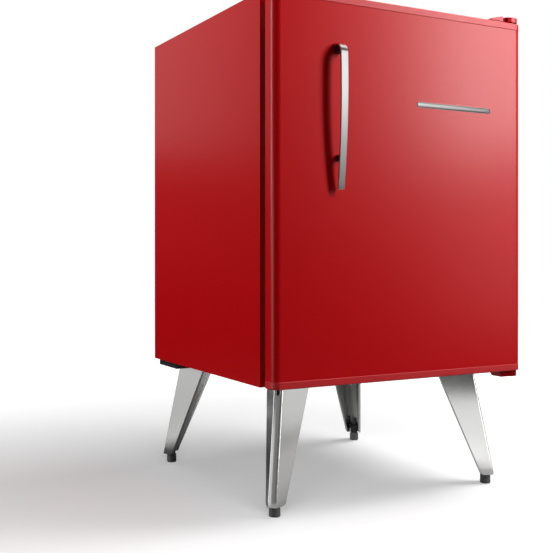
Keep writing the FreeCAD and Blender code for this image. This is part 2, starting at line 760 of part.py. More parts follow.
def door_skin():
    """Folded sheet: the front, both sides and the returns that hold the liner."""
    outer = door_slab("door_skin_outer", "0", SKIN_LOW, SKIN_TOP, DOOR_BACK)
    below, above = f"{SKIN_LOW} - 1", f"{SKIN_TOP} + 1"
    inner = door_slab("door_skin_inner", "door_sheet", below, above, f"{DOOR_BACK} - door_sheet")
    mouth = brick(f"door_return - {HALF}", f"{HALF} - door_return",
                  f"{DOOR_BACK} - 2 * door_sheet", f"{DOOR_BACK} + 1", below, above)
    keep(less(outer, inner, mouth, *handle_fixings()[1]), "door_skin")


DYKE_OUTER = f"({INNER_HALF} - dyke_outer_gap)"
DYKE_INNER = f"({INNER_HALF} - dyke_outer_gap - dyke_width)"
BIN_COUNT = 3
DYKE_LOW = f"({INNER_FLOOR} + dyke_end_gap)"
DYKE_HIGH = f"({INNER_TOP} - dyke_end_gap)"
BIN_LOW = f"({DYKE_LOW} + dyke_width + bin_floor_gap)"
BIN_HOOK_LOW = f"({BIN_LOW} + bin_hook_height)"


def dyke_ring(sketch, inset):
    """Outline of the raised ring on the door liner, drawn inset from its outer faces."""
    draw_rectangle(sketch, f"{inset} - {DYKE_OUTER}", f"{DYKE_OUTER} - ({inset})",
                   f"{DYKE_LOW} + {inset}", f"{DYKE_HIGH} - ({inset})")
    draw_rectangle(sketch, f"-{DYKE_INNER} - ({inset})", f"{DYKE_INNER} + {inset}",
                   f"{DYKE_LOW} + dyke_width - ({inset})", f"{DYKE_HIGH} - dyke_width + {inset}")


def door_liner():
    """Moulded sheet with a hollow raised ring, and lugs on the ring for the door bins."""
    body = new_body("door_liner")
    half_plate = f"({HALF} - door_return - door_liner_edge)"
    plate = sketch_on(body, "XZ_Plane", f"-({DOOR_BACK})")
    draw_rectangle(plate, f"-{half_plate}", half_plate, SKIN_LOW, SKIN_TOP)
    pad(body, plate, "liner_sheet")
    ring = sketch_on(body, "XZ_Plane", f"-({DOOR_BACK})")
    dyke_ring(ring, "0")
    pad(body, ring, "gasket_space + dyke_reach", reverse=True)
    hollow = sketch_on(body, "XZ_Plane", f"-({DOOR_BACK}) + liner_sheet")
    dyke_ring(hollow, "liner_sheet")
    pocket(body, hollow, "gasket_space + dyke_reach")
    lugs = sketch_on(body, "XZ_Plane", f"-({DOOR_BACK})")
    near, far = f"({DYKE_INNER} - bin_hook)", f"({DYKE_INNER} + liner_sheet / 2)"
    for row in range(BIN_COUNT):
        high = f"{BIN_HOOK_LOW} + {row} * bin_pitch - seat_gap"
        draw_rectangle(lugs, f"-{far}", f"-{near}", f"{high} - bin_hook_thick", high)
        draw_rectangle(lugs, near, far, f"{high} - bin_hook_thick", high)
    pad(body, lugs, "gasket_space + dyke_reach", reverse=True)
    keep(body, "door_liner")


def door_foam():
    """Insulation inside the door, with a tongue that fills the liner's raised ring."""
    slab = door_slab("door_foam_slab", "door_sheet", SKIN_LOW, SKIN_TOP, f"{DOOR_BACK} - liner_sheet")
    body = new_body("door_foam_tongue")
    ring = sketch_on(body, "XZ_Plane", f"-({DOOR_BACK}) + liner_sheet")
    dyke_ring(ring, "liner_sheet")
    pad(body, ring, "gasket_space + dyke_reach", reverse=True)
    keep(less(joined(slab, body), *handle_fixings()[0]), "door_foam")


GASKET_OUTER = "(cabinet_width / 2 - hinge_side - gasket_hinge_gap)"
GASKET_BACK = "(-gasket_gap)"


def gasket_ring(outer, inner, front, back):
    """Frame round the opening between two planes, outer and inner edges given from the cabinet's sides."""
    rise = f"{INNER_TOP} - {INNER_HALF}"
    fall = f"{INNER_FLOOR} + {INNER_HALF}"
    block = brick(f"-({outer})", outer, front, back, f"{fall} - ({outer})", f"{rise} + {outer}")
    hole = brick(f"-({inner})", inner, f"{front} - 1", f"{back} + 1",
                 f"{fall} - ({inner})", f"{rise} + {inner}")
    return less(block, hole)


def magnet_ring():
    """The room inside the gasket that the magnet strip fills."""
    edge = "(gasket_width - magnet_width) / 2"
    return gasket_ring(f"{GASKET_OUTER} - {edge}", f"{GASKET_OUTER} - gasket_width + {edge}",
                       f"{GASKET_BACK} - gasket_wall - magnet_thick", f"{GASKET_BACK} - gasket_wall")


def door_gasket():
    """Soft frame that seals the door on the cabinet's face, hollow for the magnet strip."""
    solid = gasket_ring(GASKET_OUTER, f"({GASKET_OUTER} - gasket_width)", DOOR_BACK, GASKET_BACK)
    keep(less(solid, magnet_ring()), "door_gasket")


def gasket_magnet():
    """Magnetic strip inside the gasket."""
    keep(magnet_ring(), "gasket_magnet")


def door_cap(node, low, high, outer_level):
    """Moulded end cap of the door, a little proud of the skin, with a rounded outer edge and a bush bore."""
    body = new_body(node)
    outline = sketch_on(body, "XY_Plane", low)
    draw_rectangle(outline, f"-{HALF} - cap_proud", f"{HALF} + cap_proud",
                   f"{DOOR_FRONT} - cap_proud", DOOR_BACK)
    block = pad(body, outline, f"({high}) - ({low})")
    rounded = fillet(body, block, "door_corner + cap_proud", upright_at(f"{DOOR_FRONT} - cap_proud"))
    fillet(body, rounded, "cap_edge", level_at(outer_level))
    bore = sketch_on(body, "XY_Plane", low)
    draw_circle(bore, HINGE_X, HINGE_Y, "hinge_pin_radius + running_gap + bush_wall")
    pocket(body, bore, f"({high}) - ({low})", reverse=True)
    keep(body, node)


def hinge_bushes():
    """Two flanged bushes pressed into the end caps."""
    wall = "hinge_pin_radius + running_gap + bush_wall"
    pieces = []
    for low, high, collar_low, collar_high in (
            (DOOR_LOW, SKIN_LOW, f"{DOOR_LOW} - collar_thick", DOOR_LOW),
            (SKIN_TOP, DOOR_TOP, DOOR_TOP, f"{DOOR_TOP} + collar_thick")):
        sleeve = rod(HINGE_X, HINGE_Y, low, high, wall)
        collar = rod(HINGE_X, HINGE_Y, collar_low, collar_high, f"{wall} + bush_wall")
        bore = rod(HINGE_X, HINGE_Y, f"{low} - 1", f"{high} + 1", "hinge_pin_radius + running_gap")
        pieces.append(less(joined(sleeve, collar), bore))
    keep(group(*pieces), "hinge_bushes")


# ---------------------------------------------------------------- door bins
BIN_HALF = f"({DYKE_INNER} - bin_hook - bin_end_gap)"
BIN_BACK = f"({DOOR_BACK} + bin_back_gap)"


def door_bin(node, row):
    """Open bin that hangs by two hooks on the door liner's lugs."""
    low = f"({BIN_LOW} + {row} * bin_pitch)"
    high = f"({low} + bin_height)"
    deep = f"({BIN_BACK} + bin_reach + gasket_space)"
    block = brick(f"-{BIN_HALF}", BIN_HALF, BIN_BACK, deep, low, high)
    inside = brick(f"bin_wall - {BIN_HALF}", f"{BIN_HALF} - bin_wall",
                   f"{BIN_BACK} + bin_wall", f"{deep} - bin_wall", f"{low} + bin_wall", f"{high} + 1")
    dip = brick(f"-{BIN_HALF} - 1", f"{BIN_HALF} + 1", f"{deep} - 2 * bin_wall", f"{deep} + 1",
                f"{high} - bin_front_drop", f"{high} + 1")
    hook_low = f"({BIN_HOOK_LOW} + {row} * bin_pitch)"
    hooks = []
    for start, end in ((f"-{BIN_HALF} - bin_hook", f"bin_wall / 2 - {BIN_HALF}"),
                       (f"{BIN_HALF} - bin_wall / 2", f"{BIN_HALF} + bin_hook")):
        hooks.append(brick(start, end, f"{BIN_BACK} + bin_hook_inset", "dyke_reach - bin_hook_inset",
                           hook_low, f"{hook_low} + bin_hook_thick"))
    keep(joined(less(block, inside, dip), *hooks), node)


# ---------------------------------------------------------------- handle and badge
HANDLE_X = f"(handle_inset - {HALF})"
HANDLE_TOP = f"({DOOR_TOP} - handle_drop)"
HANDLE_TIP = f"({HANDLE_TOP} - handle_length)"
HANDLE_CREST = f"({HANDLE_TOP} - handle_crest_drop)"
STANDOFF_Z = f"({HANDLE_TIP} + standoff_rise)"
BADGE_RIGHT = f"({HALF} - badge_inset)"
BADGE_LOW = f"({DOOR_TOP} - badge_drop)"


def handle():
    """Bowed strip: a quarter-circle return into the door at the top, then one long arc down to a free tip."""
    front = value(f"{DOOR_FRONT} - handle_reach")
    wall_y = value(DOOR_FRONT)
    bow, bend, thick = value("handle_bow"), value("handle_bend"), value("handle_thick")
    crest, top, tip = value(HANDLE_CREST), value(HANDLE_TOP), value(HANDLE_TIP)
    centre_y = front + bow
    bend_z = top - bend
    bend_y = centre_y - math.sqrt((bow - bend) ** 2 - (bend_z - crest) ** 2)
    lean = math.atan2(bend_z - crest, centre_y - bend_y)
    fall = math.asin((crest - tip) / bow)

    def on_bow(radius, angle):
        return V(0, centre_y - radius * math.cos(angle), crest + radius * math.sin(angle))

    def on_bend(radius, angle):
        return V(0, bend_y - radius * math.cos(angle), bend_z + radius * math.sin(angle))

    def face(bow_radius, bend_radius, height):
        """One face of the strip, from the door over the return and down the bow."""
        level, middle = math.pi / 2, (math.pi / 2 + lean) / 2
        return [Part.makeLine(V(0, wall_y, height), on_bend(bend_radius, level)),
                Part.Arc(on_bend(bend_radius, level), on_bend(bend_radius, middle),
                         on_bend(bend_radius, lean)).toShape(),
                Part.Arc(on_bow(bow_radius, lean), on_bow(bow_radius, (lean - fall) / 2),
                         on_bow(bow_radius, -fall)).toShape()]

    ends = [Part.makeLine(on_bow(bow, -fall), on_bow(bow - thick, -fall)),
            Part.makeLine(V(0, wall_y, top - thick), V(0, wall_y, top))]
    outline = face(bow, bend, top) + face(bow - thick, bend - thick, top - thick) + ends
    side = Part.Face(Part.Wire(Part.__sortEdges__(outline)))
    width, tip_width, middle_x = value("handle_width"), value("handle_tip_width"), value(HANDLE_X)
    side.translate(V(middle_x - width / 2, 0, 0))
    strip = side.extrude(V(width, 0, 0))
    narrow = (width - tip_width) / 2
    for sign in (-1, 1):
        edge = middle_x + sign * width / 2
        corner = V(edge, 0, tip)
        wedge = Part.makePolygon([corner, V(edge - sign * narrow, 0, tip), V(edge, 0, crest), corner])
        strip = strip.cut(Part.Face(wedge).extrude(V(0, 2 * front, 0)))
    made("handle", strip)


def handle_standoff():
    """Post that holds the lower end of the handle off the door, cut to the curve of the strip."""
    post = turned_rod(HANDLE_X, DOOR_FRONT, STANDOFF_Z, "handle_reach", "standoff_radius", (0, -1, 0))
    hole = turned_rod(HANDLE_X, f"{DOOR_FRONT} + 1", STANDOFF_Z, "handle_screw_grip + 1 + standoff_hole_gap",
                      "handle_screw_radius", (0, -1, 0))
    inner_bow = "handle_bow - handle_thick - standoff_gap"
    behind = turned_rod(f"{HANDLE_X} - handle_width", f"{DOOR_FRONT} - handle_reach + handle_bow",
                        HANDLE_CREST, "2 * handle_width", inner_bow, (1, 0, 0))
    trimmed = doc.addObject("Part::Common", "Trimmed")
    trimmed.Base = post
    trimmed.Tool = behind
    keep(less(trimmed, hole), "handle_standoff")


def handle_fixings():
    """Heads and shanks of the handle's two screws: one into the stand-off, one against the return."""
    heads, shanks = [], []
    inside = f"{DOOR_FRONT} + door_sheet"
    for height, grip in ((STANDOFF_Z, "handle_screw_grip"), (f"{HANDLE_TOP} - handle_thick / 2", "0")):
        heads.append(turned_rod(HANDLE_X, f"{inside} + screw_head_thick", height, "screw_head_thick",
                                "2 * handle_screw_radius", (0, -1, 0)))
        shanks.append(turned_rod(HANDLE_X, inside, height, f"door_sheet + {grip}", "handle_screw_radius",
                                 (0, -1, 0)))
    return heads, shanks


def handle_screws():
    """Two screws from inside the door skin into the handle's return and its stand-off."""
    keep(group(*[joined(head, shank) for head, shank in zip(*handle_fixings())]), "handle_screws")


def badge_plate():
    """Plain bar on the door, with nothing written on it."""
    body = new_body("badge_plate")
    outline = sketch_on(body, "XZ_Plane", f"-({DOOR_FRONT})")
    draw_rectangle(outline, f"{BADGE_RIGHT} - badge_length", BADGE_RIGHT,
                   BADGE_LOW, f"{BADGE_LOW} + badge_height")
    bar = pad(body, outline, "badge_thick")
    thick = value("badge_thick")

    def across_bar(edge):
        box = edge.BoundBox
        return abs(box.YLength - thick) < TINY and box.XLength < TINY

    fillet(body, bar, "badge_corner", across_bar)
    keep(body, "badge_plate")


# ---------------------------------------------------------------- hinges
def hinge_plate(body, low, thick):
    """Plate with a round nose about the pin, running back over the cabinet."""
    outline = sketch_on(body, "XY_Plane", low)
    draw_rectangle(outline, f"{HINGE_X} - hinge_plate_half", f"{HINGE_X} + hinge_plate_half",
                   f"{HINGE_Y} - hinge_plate_half", "hinge_plate_back")
    plate = pad(body, outline, thick)
    fillet(body, plate, "hinge_plate_corner", upright_at(f"{HINGE_Y} - hinge_plate_half"))


def screw_holes(body, low, thick):
    """The two screw holes and the pin hole of a hinge plate."""
    holes = sketch_on(body, "XY_Plane", low)
    for y in SCREW_ROWS:
        draw_circle(holes, HINGE_X, y, "hinge_screw_radius")
    draw_circle(holes, HINGE_X, HINGE_Y, "hinge_pin_radius")
    pocket(body, holes, thick, reverse=True)


def top_hinge_bracket():
    """Flat plate on the cabinet that holds the upper pin."""
    body = new_body("top_hinge_bracket")
    hinge_plate(body, CASE_TOP, "hinge_plate")
    screw_holes(body, CASE_TOP, "hinge_plate")
    keep(body, "top_hinge_bracket")


def bottom_hinge_bracket():
    """Painted plate under the cabinet, with a thick wing and a round knuckle that holds the lower pin."""
    body = new_body("bottom_hinge_bracket")
    hinge_plate(body, PLATE_LOW, "hinge_plate")
    wing = sketch_on(body, "XZ_Plane", f"-({HINGE_Y} - knuckle_half)")
    left, low = f"{HINGE_X} - knuckle_wing", f"{PLATE_LOW} - knuckle_depth"
    draw_outline(wing, [(left, CASE_LOW), (f"{left} + knuckle_slope", low),
                        (HINGE_X, low), (HINGE_X, CASE_LOW)])
    pad(body, wing, "2 * knuckle_half", reverse=True)
    knuckle = sketch_on(body, "XY_Plane", CASE_LOW)
    draw_circle(knuckle, HINGE_X, HINGE_Y, "knuckle_radius")
    pad(body, knuckle, "hinge_plate + knuckle_depth", reverse=True)
    screw_holes(body, PLATE_LOW, "hinge_plate")
    keep(body, "bottom_hinge_bracket")


def hinge_pins():
    """A pin pressed into each bracket, which turns in the door's bush."""
    plate_top = f"{CASE_TOP} + hinge_plate"
    upper = rod(HINGE_X, HINGE_Y, f"{DOOR_TOP} - hinge_pin_depth", plate_top, "hinge_pin_radius")
    lower = rod(HINGE_X, HINGE_Y, PLATE_LOW, f"{DOOR_LOW} + hinge_pin_depth", "hinge_pin_radius")
    keep(group(upper, lower), "hinge_pins")


def hinge_screws():
    """Two screws through each bracket, with their heads outside and their shanks in the cabinet."""
    plate_top = f"{CASE_TOP} + hinge_plate"
    pieces = []
    for number, shank in enumerate(hinge_screw_shanks()):
        y = SCREW_ROWS[number // 2]
        if number % 2:
            head = rod(HINGE_X, y, f"{PLATE_LOW} - screw_head_thick", PLATE_LOW, "hinge_screw_head")
        else:
            head = rod(HINGE_X, y, plate_top, f"{plate_top} + screw_head_thick", "hinge_screw_head")
        pieces.append(joined(shank, head))
    keep(group(*pieces), "hinge_screws")


def top_hinge_cover():
    """Moulded cover over the upper hinge: a sloped wing to the left, a slot, and a nose over the pin."""
    low, high = CASE_TOP, f"({CASE_TOP} + cover_height)"
    left = f"({HINGE_X} - cover_left)"
    shoulder = f"({left} + cover_slope + cover_shoulder)"
    nose_half = "(hinge_plate_half + cover_gap + cover_wall)"
    nose_front = f"({HINGE_Y} - {nose_half})"
    wing_front = f"({nose_front} + cover_slope / 2)"
    slot_back = f"({nose_front} + cover_slot_depth)"
    wing = new_body("cover_wing")
    profile = sketch_on(wing, "XZ_Plane", f"-{wing_front}")
    draw_outline(profile, [(left, low), (HINGE_X, low), (HINGE_X, high), (shoulder, high),
                           (f"{left} + cover_slope", f"{low} + cover_height / 2")])
    pad(wing, profile, f"cover_back - {wing_front}", reverse=True)
    below, above = f"{low} - 1", f"{high} + 1"
    slot = brick(f"{HINGE_X} - {nose_half} - cover_slot", HINGE_X,
                 f"{nose_front} - 1", slot_back, below, above)
    nose = new_body("cover_nose")
    outline = sketch_on(nose, "XY_Plane", low)
    draw_rectangle(outline, f"{HINGE_X} - {nose_half}", f"{HINGE_X} + {nose_half}", nose_front, "cover_back")
    block = pad(nose, outline, "cover_height")
    fillet(nose, block, "cover_corner", upright_at(nose_front))
    room_half = "(hinge_plate_half + cover_gap / 2)"
    roof, rear = f"{high} - cover_wall", "cover_back - cover_wall"
    plate_room = brick(f"{HINGE_X} - {room_half}", f"{HINGE_X} + {room_half}",
                       f"{HINGE_Y} - hinge_plate_half", rear, below, roof)
    wing_room = brick(shoulder, HINGE_X, f"{slot_back} + cover_wall", rear, below, roof)
    keep(less(joined(less(wing, slot), nose), plate_room, wing_room), "top_hinge_cover")


# ---------------------------------------------------------------- legs and feet
LEG_TOP = f"({CASE_LOW} + case_sheet)"
LEG_RISE = value(f"{LEG_TOP} - leg_foot_height")


def leg_side(fraction, inset):
    """Half of a leg's level section, from nose to hem, at a fraction of its height.

    Gives the end of the nose flat, a point on the bend, the end of the bend, the wing's edge and the
    end of its hem, all on the side of +Y, inset from the outer face. The leg's own +X points out
    along the diagonal.
    """
    nose = value("leg_nose_bottom") - value("leg_nose_retreat") * fraction
    wing = value("leg_wing_bottom") + (value("leg_wing_top") - value("leg_wing_bottom")) * fraction
    bend, flat = value("leg_bend"), value("leg_nose_flat")
    turn = math.radians(90 - value("leg_half_angle"))
    centre_x = nose - bend
    radius = bend - inset
    points = [(centre_x + radius, flat),
              (centre_x + radius * math.cos(turn / 2), flat + radius * math.sin(turn / 2)),
              (centre_x + radius * math.cos(turn), flat + radius * math.sin(turn))]
    along = (-math.sin(turn), math.cos(turn))
    inward = (-math.cos(turn), -math.sin(turn))
    for reach, (across, up) in ((wing - inset, along), (value("leg_hem") - inset, inward)):
        points.append((points[-1][0] + reach * across, points[-1][1] + reach * up))
    return points


def leg_height(fraction):
    """Height above the floor at a fraction of the leg."""
    return value("leg_foot_height") + LEG_RISE * fraction


def leg_edges(points, height, sign):
    """The bend and the straight stretches of one side, as edges that start at the nose."""
    corner = [V(x, sign * y, height) for x, y in points]
    stretches = [Part.makeLine(start, end) for start, end in zip(corner[2:], corner[3:])]
    return [Part.Arc(corner[0], corner[1], corner[2]).toShape()] + stretches


def across(point, height):
    """The edge from a point on one side of the leg to its mirror point on the other."""
    return Part.makeLine(V(point[0], point[1], height), V(point[0], -point[1], height))


def leg_section(fraction):
    """Closed wire round the sheet at one height."""
    height = leg_height(fraction)
    outer, inner = leg_side(fraction, 0), leg_side(fraction, value("leg_sheet"))
    edges = [across(outer[0], height), across(inner[0], height)]
    for sign in (1, -1):
        edges += leg_edges(outer, height, sign) + leg_edges(inner, height, sign)
        hem_outside, hem_inside = [V(x, sign * y, height) for x, y in (outer[-1], inner[-1])]
        edges.append(Part.makeLine(hem_outside, hem_inside))
    return Part.Wire(Part.__sortEdges__(edges))


def leg_filling(fraction):
    """Closed wire round the space between the wings at one height, a little clear of the sheet."""
    height = leg_height(fraction)
    inside = leg_side(fraction, value("leg_sheet + insert_gap"))[:4]
    edges = leg_edges(inside, height, 1) + leg_edges(inside, height, -1)
    edges += [across(inside[0], height), across(inside[3], height)]
    return Part.Wire(Part.__sortEdges__(edges))


def lofted(low_wire, high_wire):
    """The solid between two level outlines."""
    return Part.makeLoft([low_wire, high_wire], True, True)


FOOT_X = f"({HALF} - foot_side_inset)"
CORNERS = {"front_left": (-1, "foot_front_inset", 225), "front_right": (1, "foot_front_inset", 315),
           "rear_left": (-1, "cabinet_depth - foot_rear_inset", 135),
           "rear_right": (1, "cabinet_depth - foot_rear_inset", 45)}
PLATE_FRACTION = 1 - value("leg_plate") / LEG_RISE
INSERT_FRACTION = value("insert_height") / LEG_RISE


def at_corner(shape, side, depth, angle):
    """A copy of a leg's shape turned to its corner and moved over its foot."""
    placed = shape.copy()
    placed.rotate(V(0, 0, 0), V(0, 0, 1), angle)
    placed.translate(V(side * value(FOOT_X), value(depth), 0))
    return placed


def screw_points():
    """Places of the two screws of a leg plate, in the leg's own frame."""
    inner = leg_side(1, value("leg_sheet"))
    middle = (inner[2][0] + inner[3][0]) / 2
    return [(middle, sign * value("leg_screw_offset")) for sign in (-1, 1)]


def legs():
    """Four folded legs, their top plates, bottom inserts and screws."""
    shell = lofted(leg_section(0), leg_section(1))
    plate = lofted(leg_filling(PLATE_FRACTION), leg_filling(1))
    low, tall = value("leg_foot_height"), value("insert_height")
    hole_radius = value("stud_radius + running_gap")
    boss = Part.makeCylinder(hole_radius + value("insert_boss"), tall, V(0, 0, low))
    bore = Part.makeCylinder(hole_radius, tall, V(0, 0, low))
    insert = lofted(leg_filling(0), leg_filling(INSERT_FRACTION)).fuse(boss).cut(bore)
    under = value(f"{LEG_TOP} - leg_plate")
    radius, thick, head_thick = value("leg_screw_radius"), value("leg_plate"), value("screw_head_thick")
    screws = []
    for x, y in screw_points():
        shank = Part.makeCylinder(radius, thick, V(x, y, under))
        head = Part.makeCylinder(value("leg_screw_head"), head_thick, V(x, y, under - head_thick))
        plate = plate.cut(shank)
        screws.append(shank.fuse(head))
    plates, inserts, all_screws = [], [], []
    for name, place in CORNERS.items():
        made(f"leg_{name}", at_corner(shell, *place))
        plates.append(at_corner(plate, *place))
        inserts.append(at_corner(insert, *place))
        all_screws += [at_corner(screw, *place) for screw in screws]
    made("leg_plates", *plates)
    made("leg_inserts", *inserts)
    made("leg_screws", *all_screws)


def foot(name, side, depth):
    """Levelling foot turned in one piece with its stud."""
    body = new_body(f"foot_{name}")
    half = sketch_on(body, "XZ_Plane")
    top = "leg_foot_height - foot_gap"
    draw_outline(half, [("0", "0"), ("foot_radius - foot_edge", "0"), ("foot_radius", "foot_edge"),
                        ("foot_radius", f"{top} - foot_edge"), ("foot_radius - foot_edge", top),
                        ("stud_radius", top), ("stud_radius", f"{top} + stud_length"),
                        ("0", f"{top} + stud_length")])
    turned = body.newObject("PartDesign::Revolution", f"{body.Name}Turned")
    turned.Profile = half
    turned.ReferenceAxis = (half, ["V_Axis"])
    turned.Angle = 360
    doc.recompute()
    keep(body, f"foot_{name}")
    drive(body, "Placement.Base.x", f"{side} * {FOOT_X}")
    drive(body, "Placement.Base.y", f"{FRAME_SHIFT} + {depth}")


# ---------------------------------------------------------------- machine bay
BASE_LOW = f"({CASE_LOW} - base_drop)"
BASE_TOP = f"({CASE_LOW} - base_drop + base_sheet)"
BASE_BACK = "(cabinet_depth - base_back_inset)"
BASE_HALF = f"({HALF} - base_side_gap)"
EAR_LOW_FRONT = "(cabinet_depth - base_ear_depth)"
EAR_OUTER = f"({HALF} - base_ear_inset)"
FEET = [(side, row) for side in (-1, 1) for row in (-1, 1)]
LUG_LOW = f"({BASE_TOP} + compressor_foot)"
SHELL_LOW = f"({BASE_TOP} + compressor_foot + compressor_lug)"
SHELL_TOP = f"({SHELL_LOW} + compressor_height)"
COMPRESSOR_Y = "(cabinet_depth - compressor_inset)"
GLAND_X = f"(gland_inset - {HALF})"
GLAND_Z = f"({CASE_LOW} + gland_rise)"


def across_sides(side, near, far, front, low, high):
    """Block between two distances from the middle plane, on the given side of it, back to the base's edge."""
    start, end = (near, far) if side > 0 else (f"-{far}", f"-{near}")
    return brick(start, end, front, BASE_BACK, low, high)


def foot_holes(low, high):
    """Rods at the compressor's four feet between two heights."""
    return [rod(f"{side} * compressor_feet_x", f"{COMPRESSOR_Y} + {row} * compressor_feet_y", low, high,
                "mount_bolt_radius") for side, row in FEET]


def compressor_base():
    """Black pressed plate that hangs below the bay, with ears that rise to the case's bottom flanges."""
    pieces = [brick(f"-{BASE_HALF}", BASE_HALF, "cabinet_depth - base_depth", BASE_BACK, BASE_LOW, BASE_TOP),
              brick(f"-{EAR_OUTER}", EAR_OUTER, f"{BASE_BACK} - base_strip", BASE_BACK, BASE_LOW, BASE_TOP)]
    for side in (-1, 1):
        pieces.append(across_sides(side, f"({EAR_OUTER} - base_ear_width)", EAR_OUTER,
                                   EAR_LOW_FRONT, BASE_LOW, BASE_TOP))
        pieces.append(across_sides(side, f"({EAR_OUTER} - base_sheet)", EAR_OUTER,
                                   EAR_LOW_FRONT, BASE_LOW, CASE_LOW))
    keep(less(joined(*pieces), *foot_holes(f"{BASE_LOW} - 1", f"{BASE_TOP} + 1")), "compressor_base")


def compressor_shell():
    """Welded domed can with a seam flange and a foot plate on four lugs."""
    body = new_body("compressor_can")
    half = sketch_on(body, "XZ_Plane")
    seam = "compressor_radius + seam_reach"
    draw_outline(half, [("0", "0"), ("compressor_floor", "0"), ("compressor_radius", "compressor_bowl"),
                        ("compressor_radius", "seam_height"), (seam, "seam_height"),
                        (seam, "seam_height + seam_reach"), ("compressor_radius", "seam_height + seam_reach"),
                        ("compressor_radius", "compressor_height - compressor_dome"),
                        ("compressor_crown", "compressor_height"), ("0", "compressor_height")])
    can = body.newObject("PartDesign::Revolution", "CompressorTurned")
    can.Profile = half
    can.ReferenceAxis = (half, ["V_Axis"])
    can.Angle = 360
    drive(body, "Placement.Base.y", COMPRESSOR_Y)
    drive(body, "Placement.Base.z", SHELL_LOW)
    plate_x, plate_y = "(compressor_feet_x + grommet_radius)", "(compressor_feet_y + grommet_radius)"
    plate = brick(f"-{plate_x}", plate_x, f"{COMPRESSOR_Y} - {plate_y}", f"{COMPRESSOR_Y} + {plate_y}",
                  LUG_LOW, SHELL_LOW)
    keep(joined(body, less(plate, *foot_holes(f"{LUG_LOW} - 1", f"{SHELL_LOW} + 1"))), "compressor_shell")


def compressor_mounts():
    """A rubber grommet and a bolt at each compressor foot."""
    grommets = []
    heads = []
    for side, row in FEET:
        x, y = f"{side} * compressor_feet_x", f"{COMPRESSOR_Y} + {row} * compressor_feet_y"
        grommets.append(rod(x, y, BASE_TOP, LUG_LOW, "grommet_radius"))
        heads.append(rod(x, y, SHELL_LOW, f"{SHELL_LOW} + mount_bolt_head", "2 * mount_bolt_radius"))
    bores = foot_holes(f"{BASE_TOP} - 1", f"{LUG_LOW} + 1")
    keep(group(*[less(grommet, bore) for grommet, bore in zip(grommets, bores)]), "compressor_grommets")
    shanks = foot_holes(BASE_LOW, SHELL_LOW)
    keep(group(*[joined(shank, head) for shank, head in zip(shanks, heads)]), "compressor_bolts")


def terminal_cover():
    """Box on the side of the compressor over its relay and terminals."""
    low = f"{SHELL_LOW} + terminal_low"
    box = brick("-compressor_radius - terminal_depth", "terminal_grip - compressor_radius",
                f"{COMPRESSOR_Y} - terminal_width / 2", f"{COMPRESSOR_Y} + terminal_width / 2",
                low, f"{low} + terminal_height")
    can = rod("0", COMPRESSOR_Y, BASE_TOP, SHELL_TOP, "compressor_radius + seam_reach")
    keep(less(box, can), "terminal_cover")


def cord_gland():
    """Bushed inlet in a small plate across the bay, where a mains lead enters."""
    plate_y = f"({BACK_INNER} - gland_plate)"
    half = "gland_plate_half"
    plate = brick(f"case_sheet - {HALF}", f"{GLAND_X} + {half}", plate_y, BACK_INNER,
                  f"{GLAND_Z} - {half}", f"{GLAND_Z} + {half}")
    sleeve = turned_rod(GLAND_X, f"{plate_y} - gland_length / 2", GLAND_Z, "gland_length",
                        "gland_radius", (0, 1, 0))
    bore = turned_rod(GLAND_X, f"{plate_y} - gland_length", GLAND_Z, "2 * gland_length",
                      "gland_bore", (0, 1, 0))
    keep(less(joined(plate, sleeve), bore), "cord_gland")


def evaporation_pan():
    """Pan on top of the compressor that catches the defrost water."""
    half, inner = "pan_half_width", "(pan_half_width - pan_wall)"
    high = f"{SHELL_TOP} + pan_height"
    block = brick(f"-{half}", half, f"{COMPRESSOR_Y} - {half}", f"{COMPRESSOR_Y} + {half}", SHELL_TOP, high)
    inside = brick(f"-{inner}", inner, f"{COMPRESSOR_Y} - {inner}", f"{COMPRESSOR_Y} + {inner}",
                   f"{SHELL_TOP} + pan_wall", f"{high} + 1")
    keep(less(block, inside), "evaporation_pan")


def drain_tube():
    """Spout from the bay's ceiling down towards the pan."""
    x, y = "pan_half_width / 2", f"{COMPRESSOR_Y} + pan_half_width / 2"
    low = f"{SHELL_TOP} + pan_height / 2"
    outer = rod(x, y, low, BAY_TOP, "drain_radius")
    inner = rod(x, y, f"{low} - 1", f"{BAY_TOP} + 1", "drain_radius - drain_wall")
    keep(less(outer, inner), "drain_tube")


# ---------------------------------------------------------------- condenser
CONDENSER_Y = "(cabinet_depth + condenser_standoff)"
CONDENSER_HALF = f"({HALF} - condenser_inset)"
CONDENSER_LOW = f"({BAY_TOP} + condenser_rise)"
CONDENSER_PITCH = f"(({CASE_TOP} - condenser_top_gap - {CONDENSER_LOW}) / condenser_rows)"


def tube_path(points, radius):
    """A wire of straight runs with a tangent arc at every inner point."""
    edges = []
    start = points[0]
    for before, corner, after in zip(points, points[1:], points[2:]):
        toward, away = (before - corner).normalize(), (after - corner).normalize()
        half = toward.getAngle(away) / 2
        reach = radius / math.tan(half)
        first, last = corner + toward * reach, corner + away * reach
        centre = corner + (toward + away).normalize() * (radius / math.sin(half))
        middle = centre + (corner - centre).normalize() * radius
        edges.append(Part.makeLine(start, first))
        edges.append(Part.Arc(first, middle, last).toShape())
        start = last
    edges.append(Part.makeLine(start, points[-1]))
    return Part.Wire(edges)


def tube(points, bend, radius):
    """A solid round tube along straight runs joined by tangent arcs."""
    path = tube_path(points, bend)
    start, direction = points[0], points[1] - points[0]
    section = Part.Wire(Part.makeCircle(radius, start, direction))
    return path.makePipeShell([section], True, False)


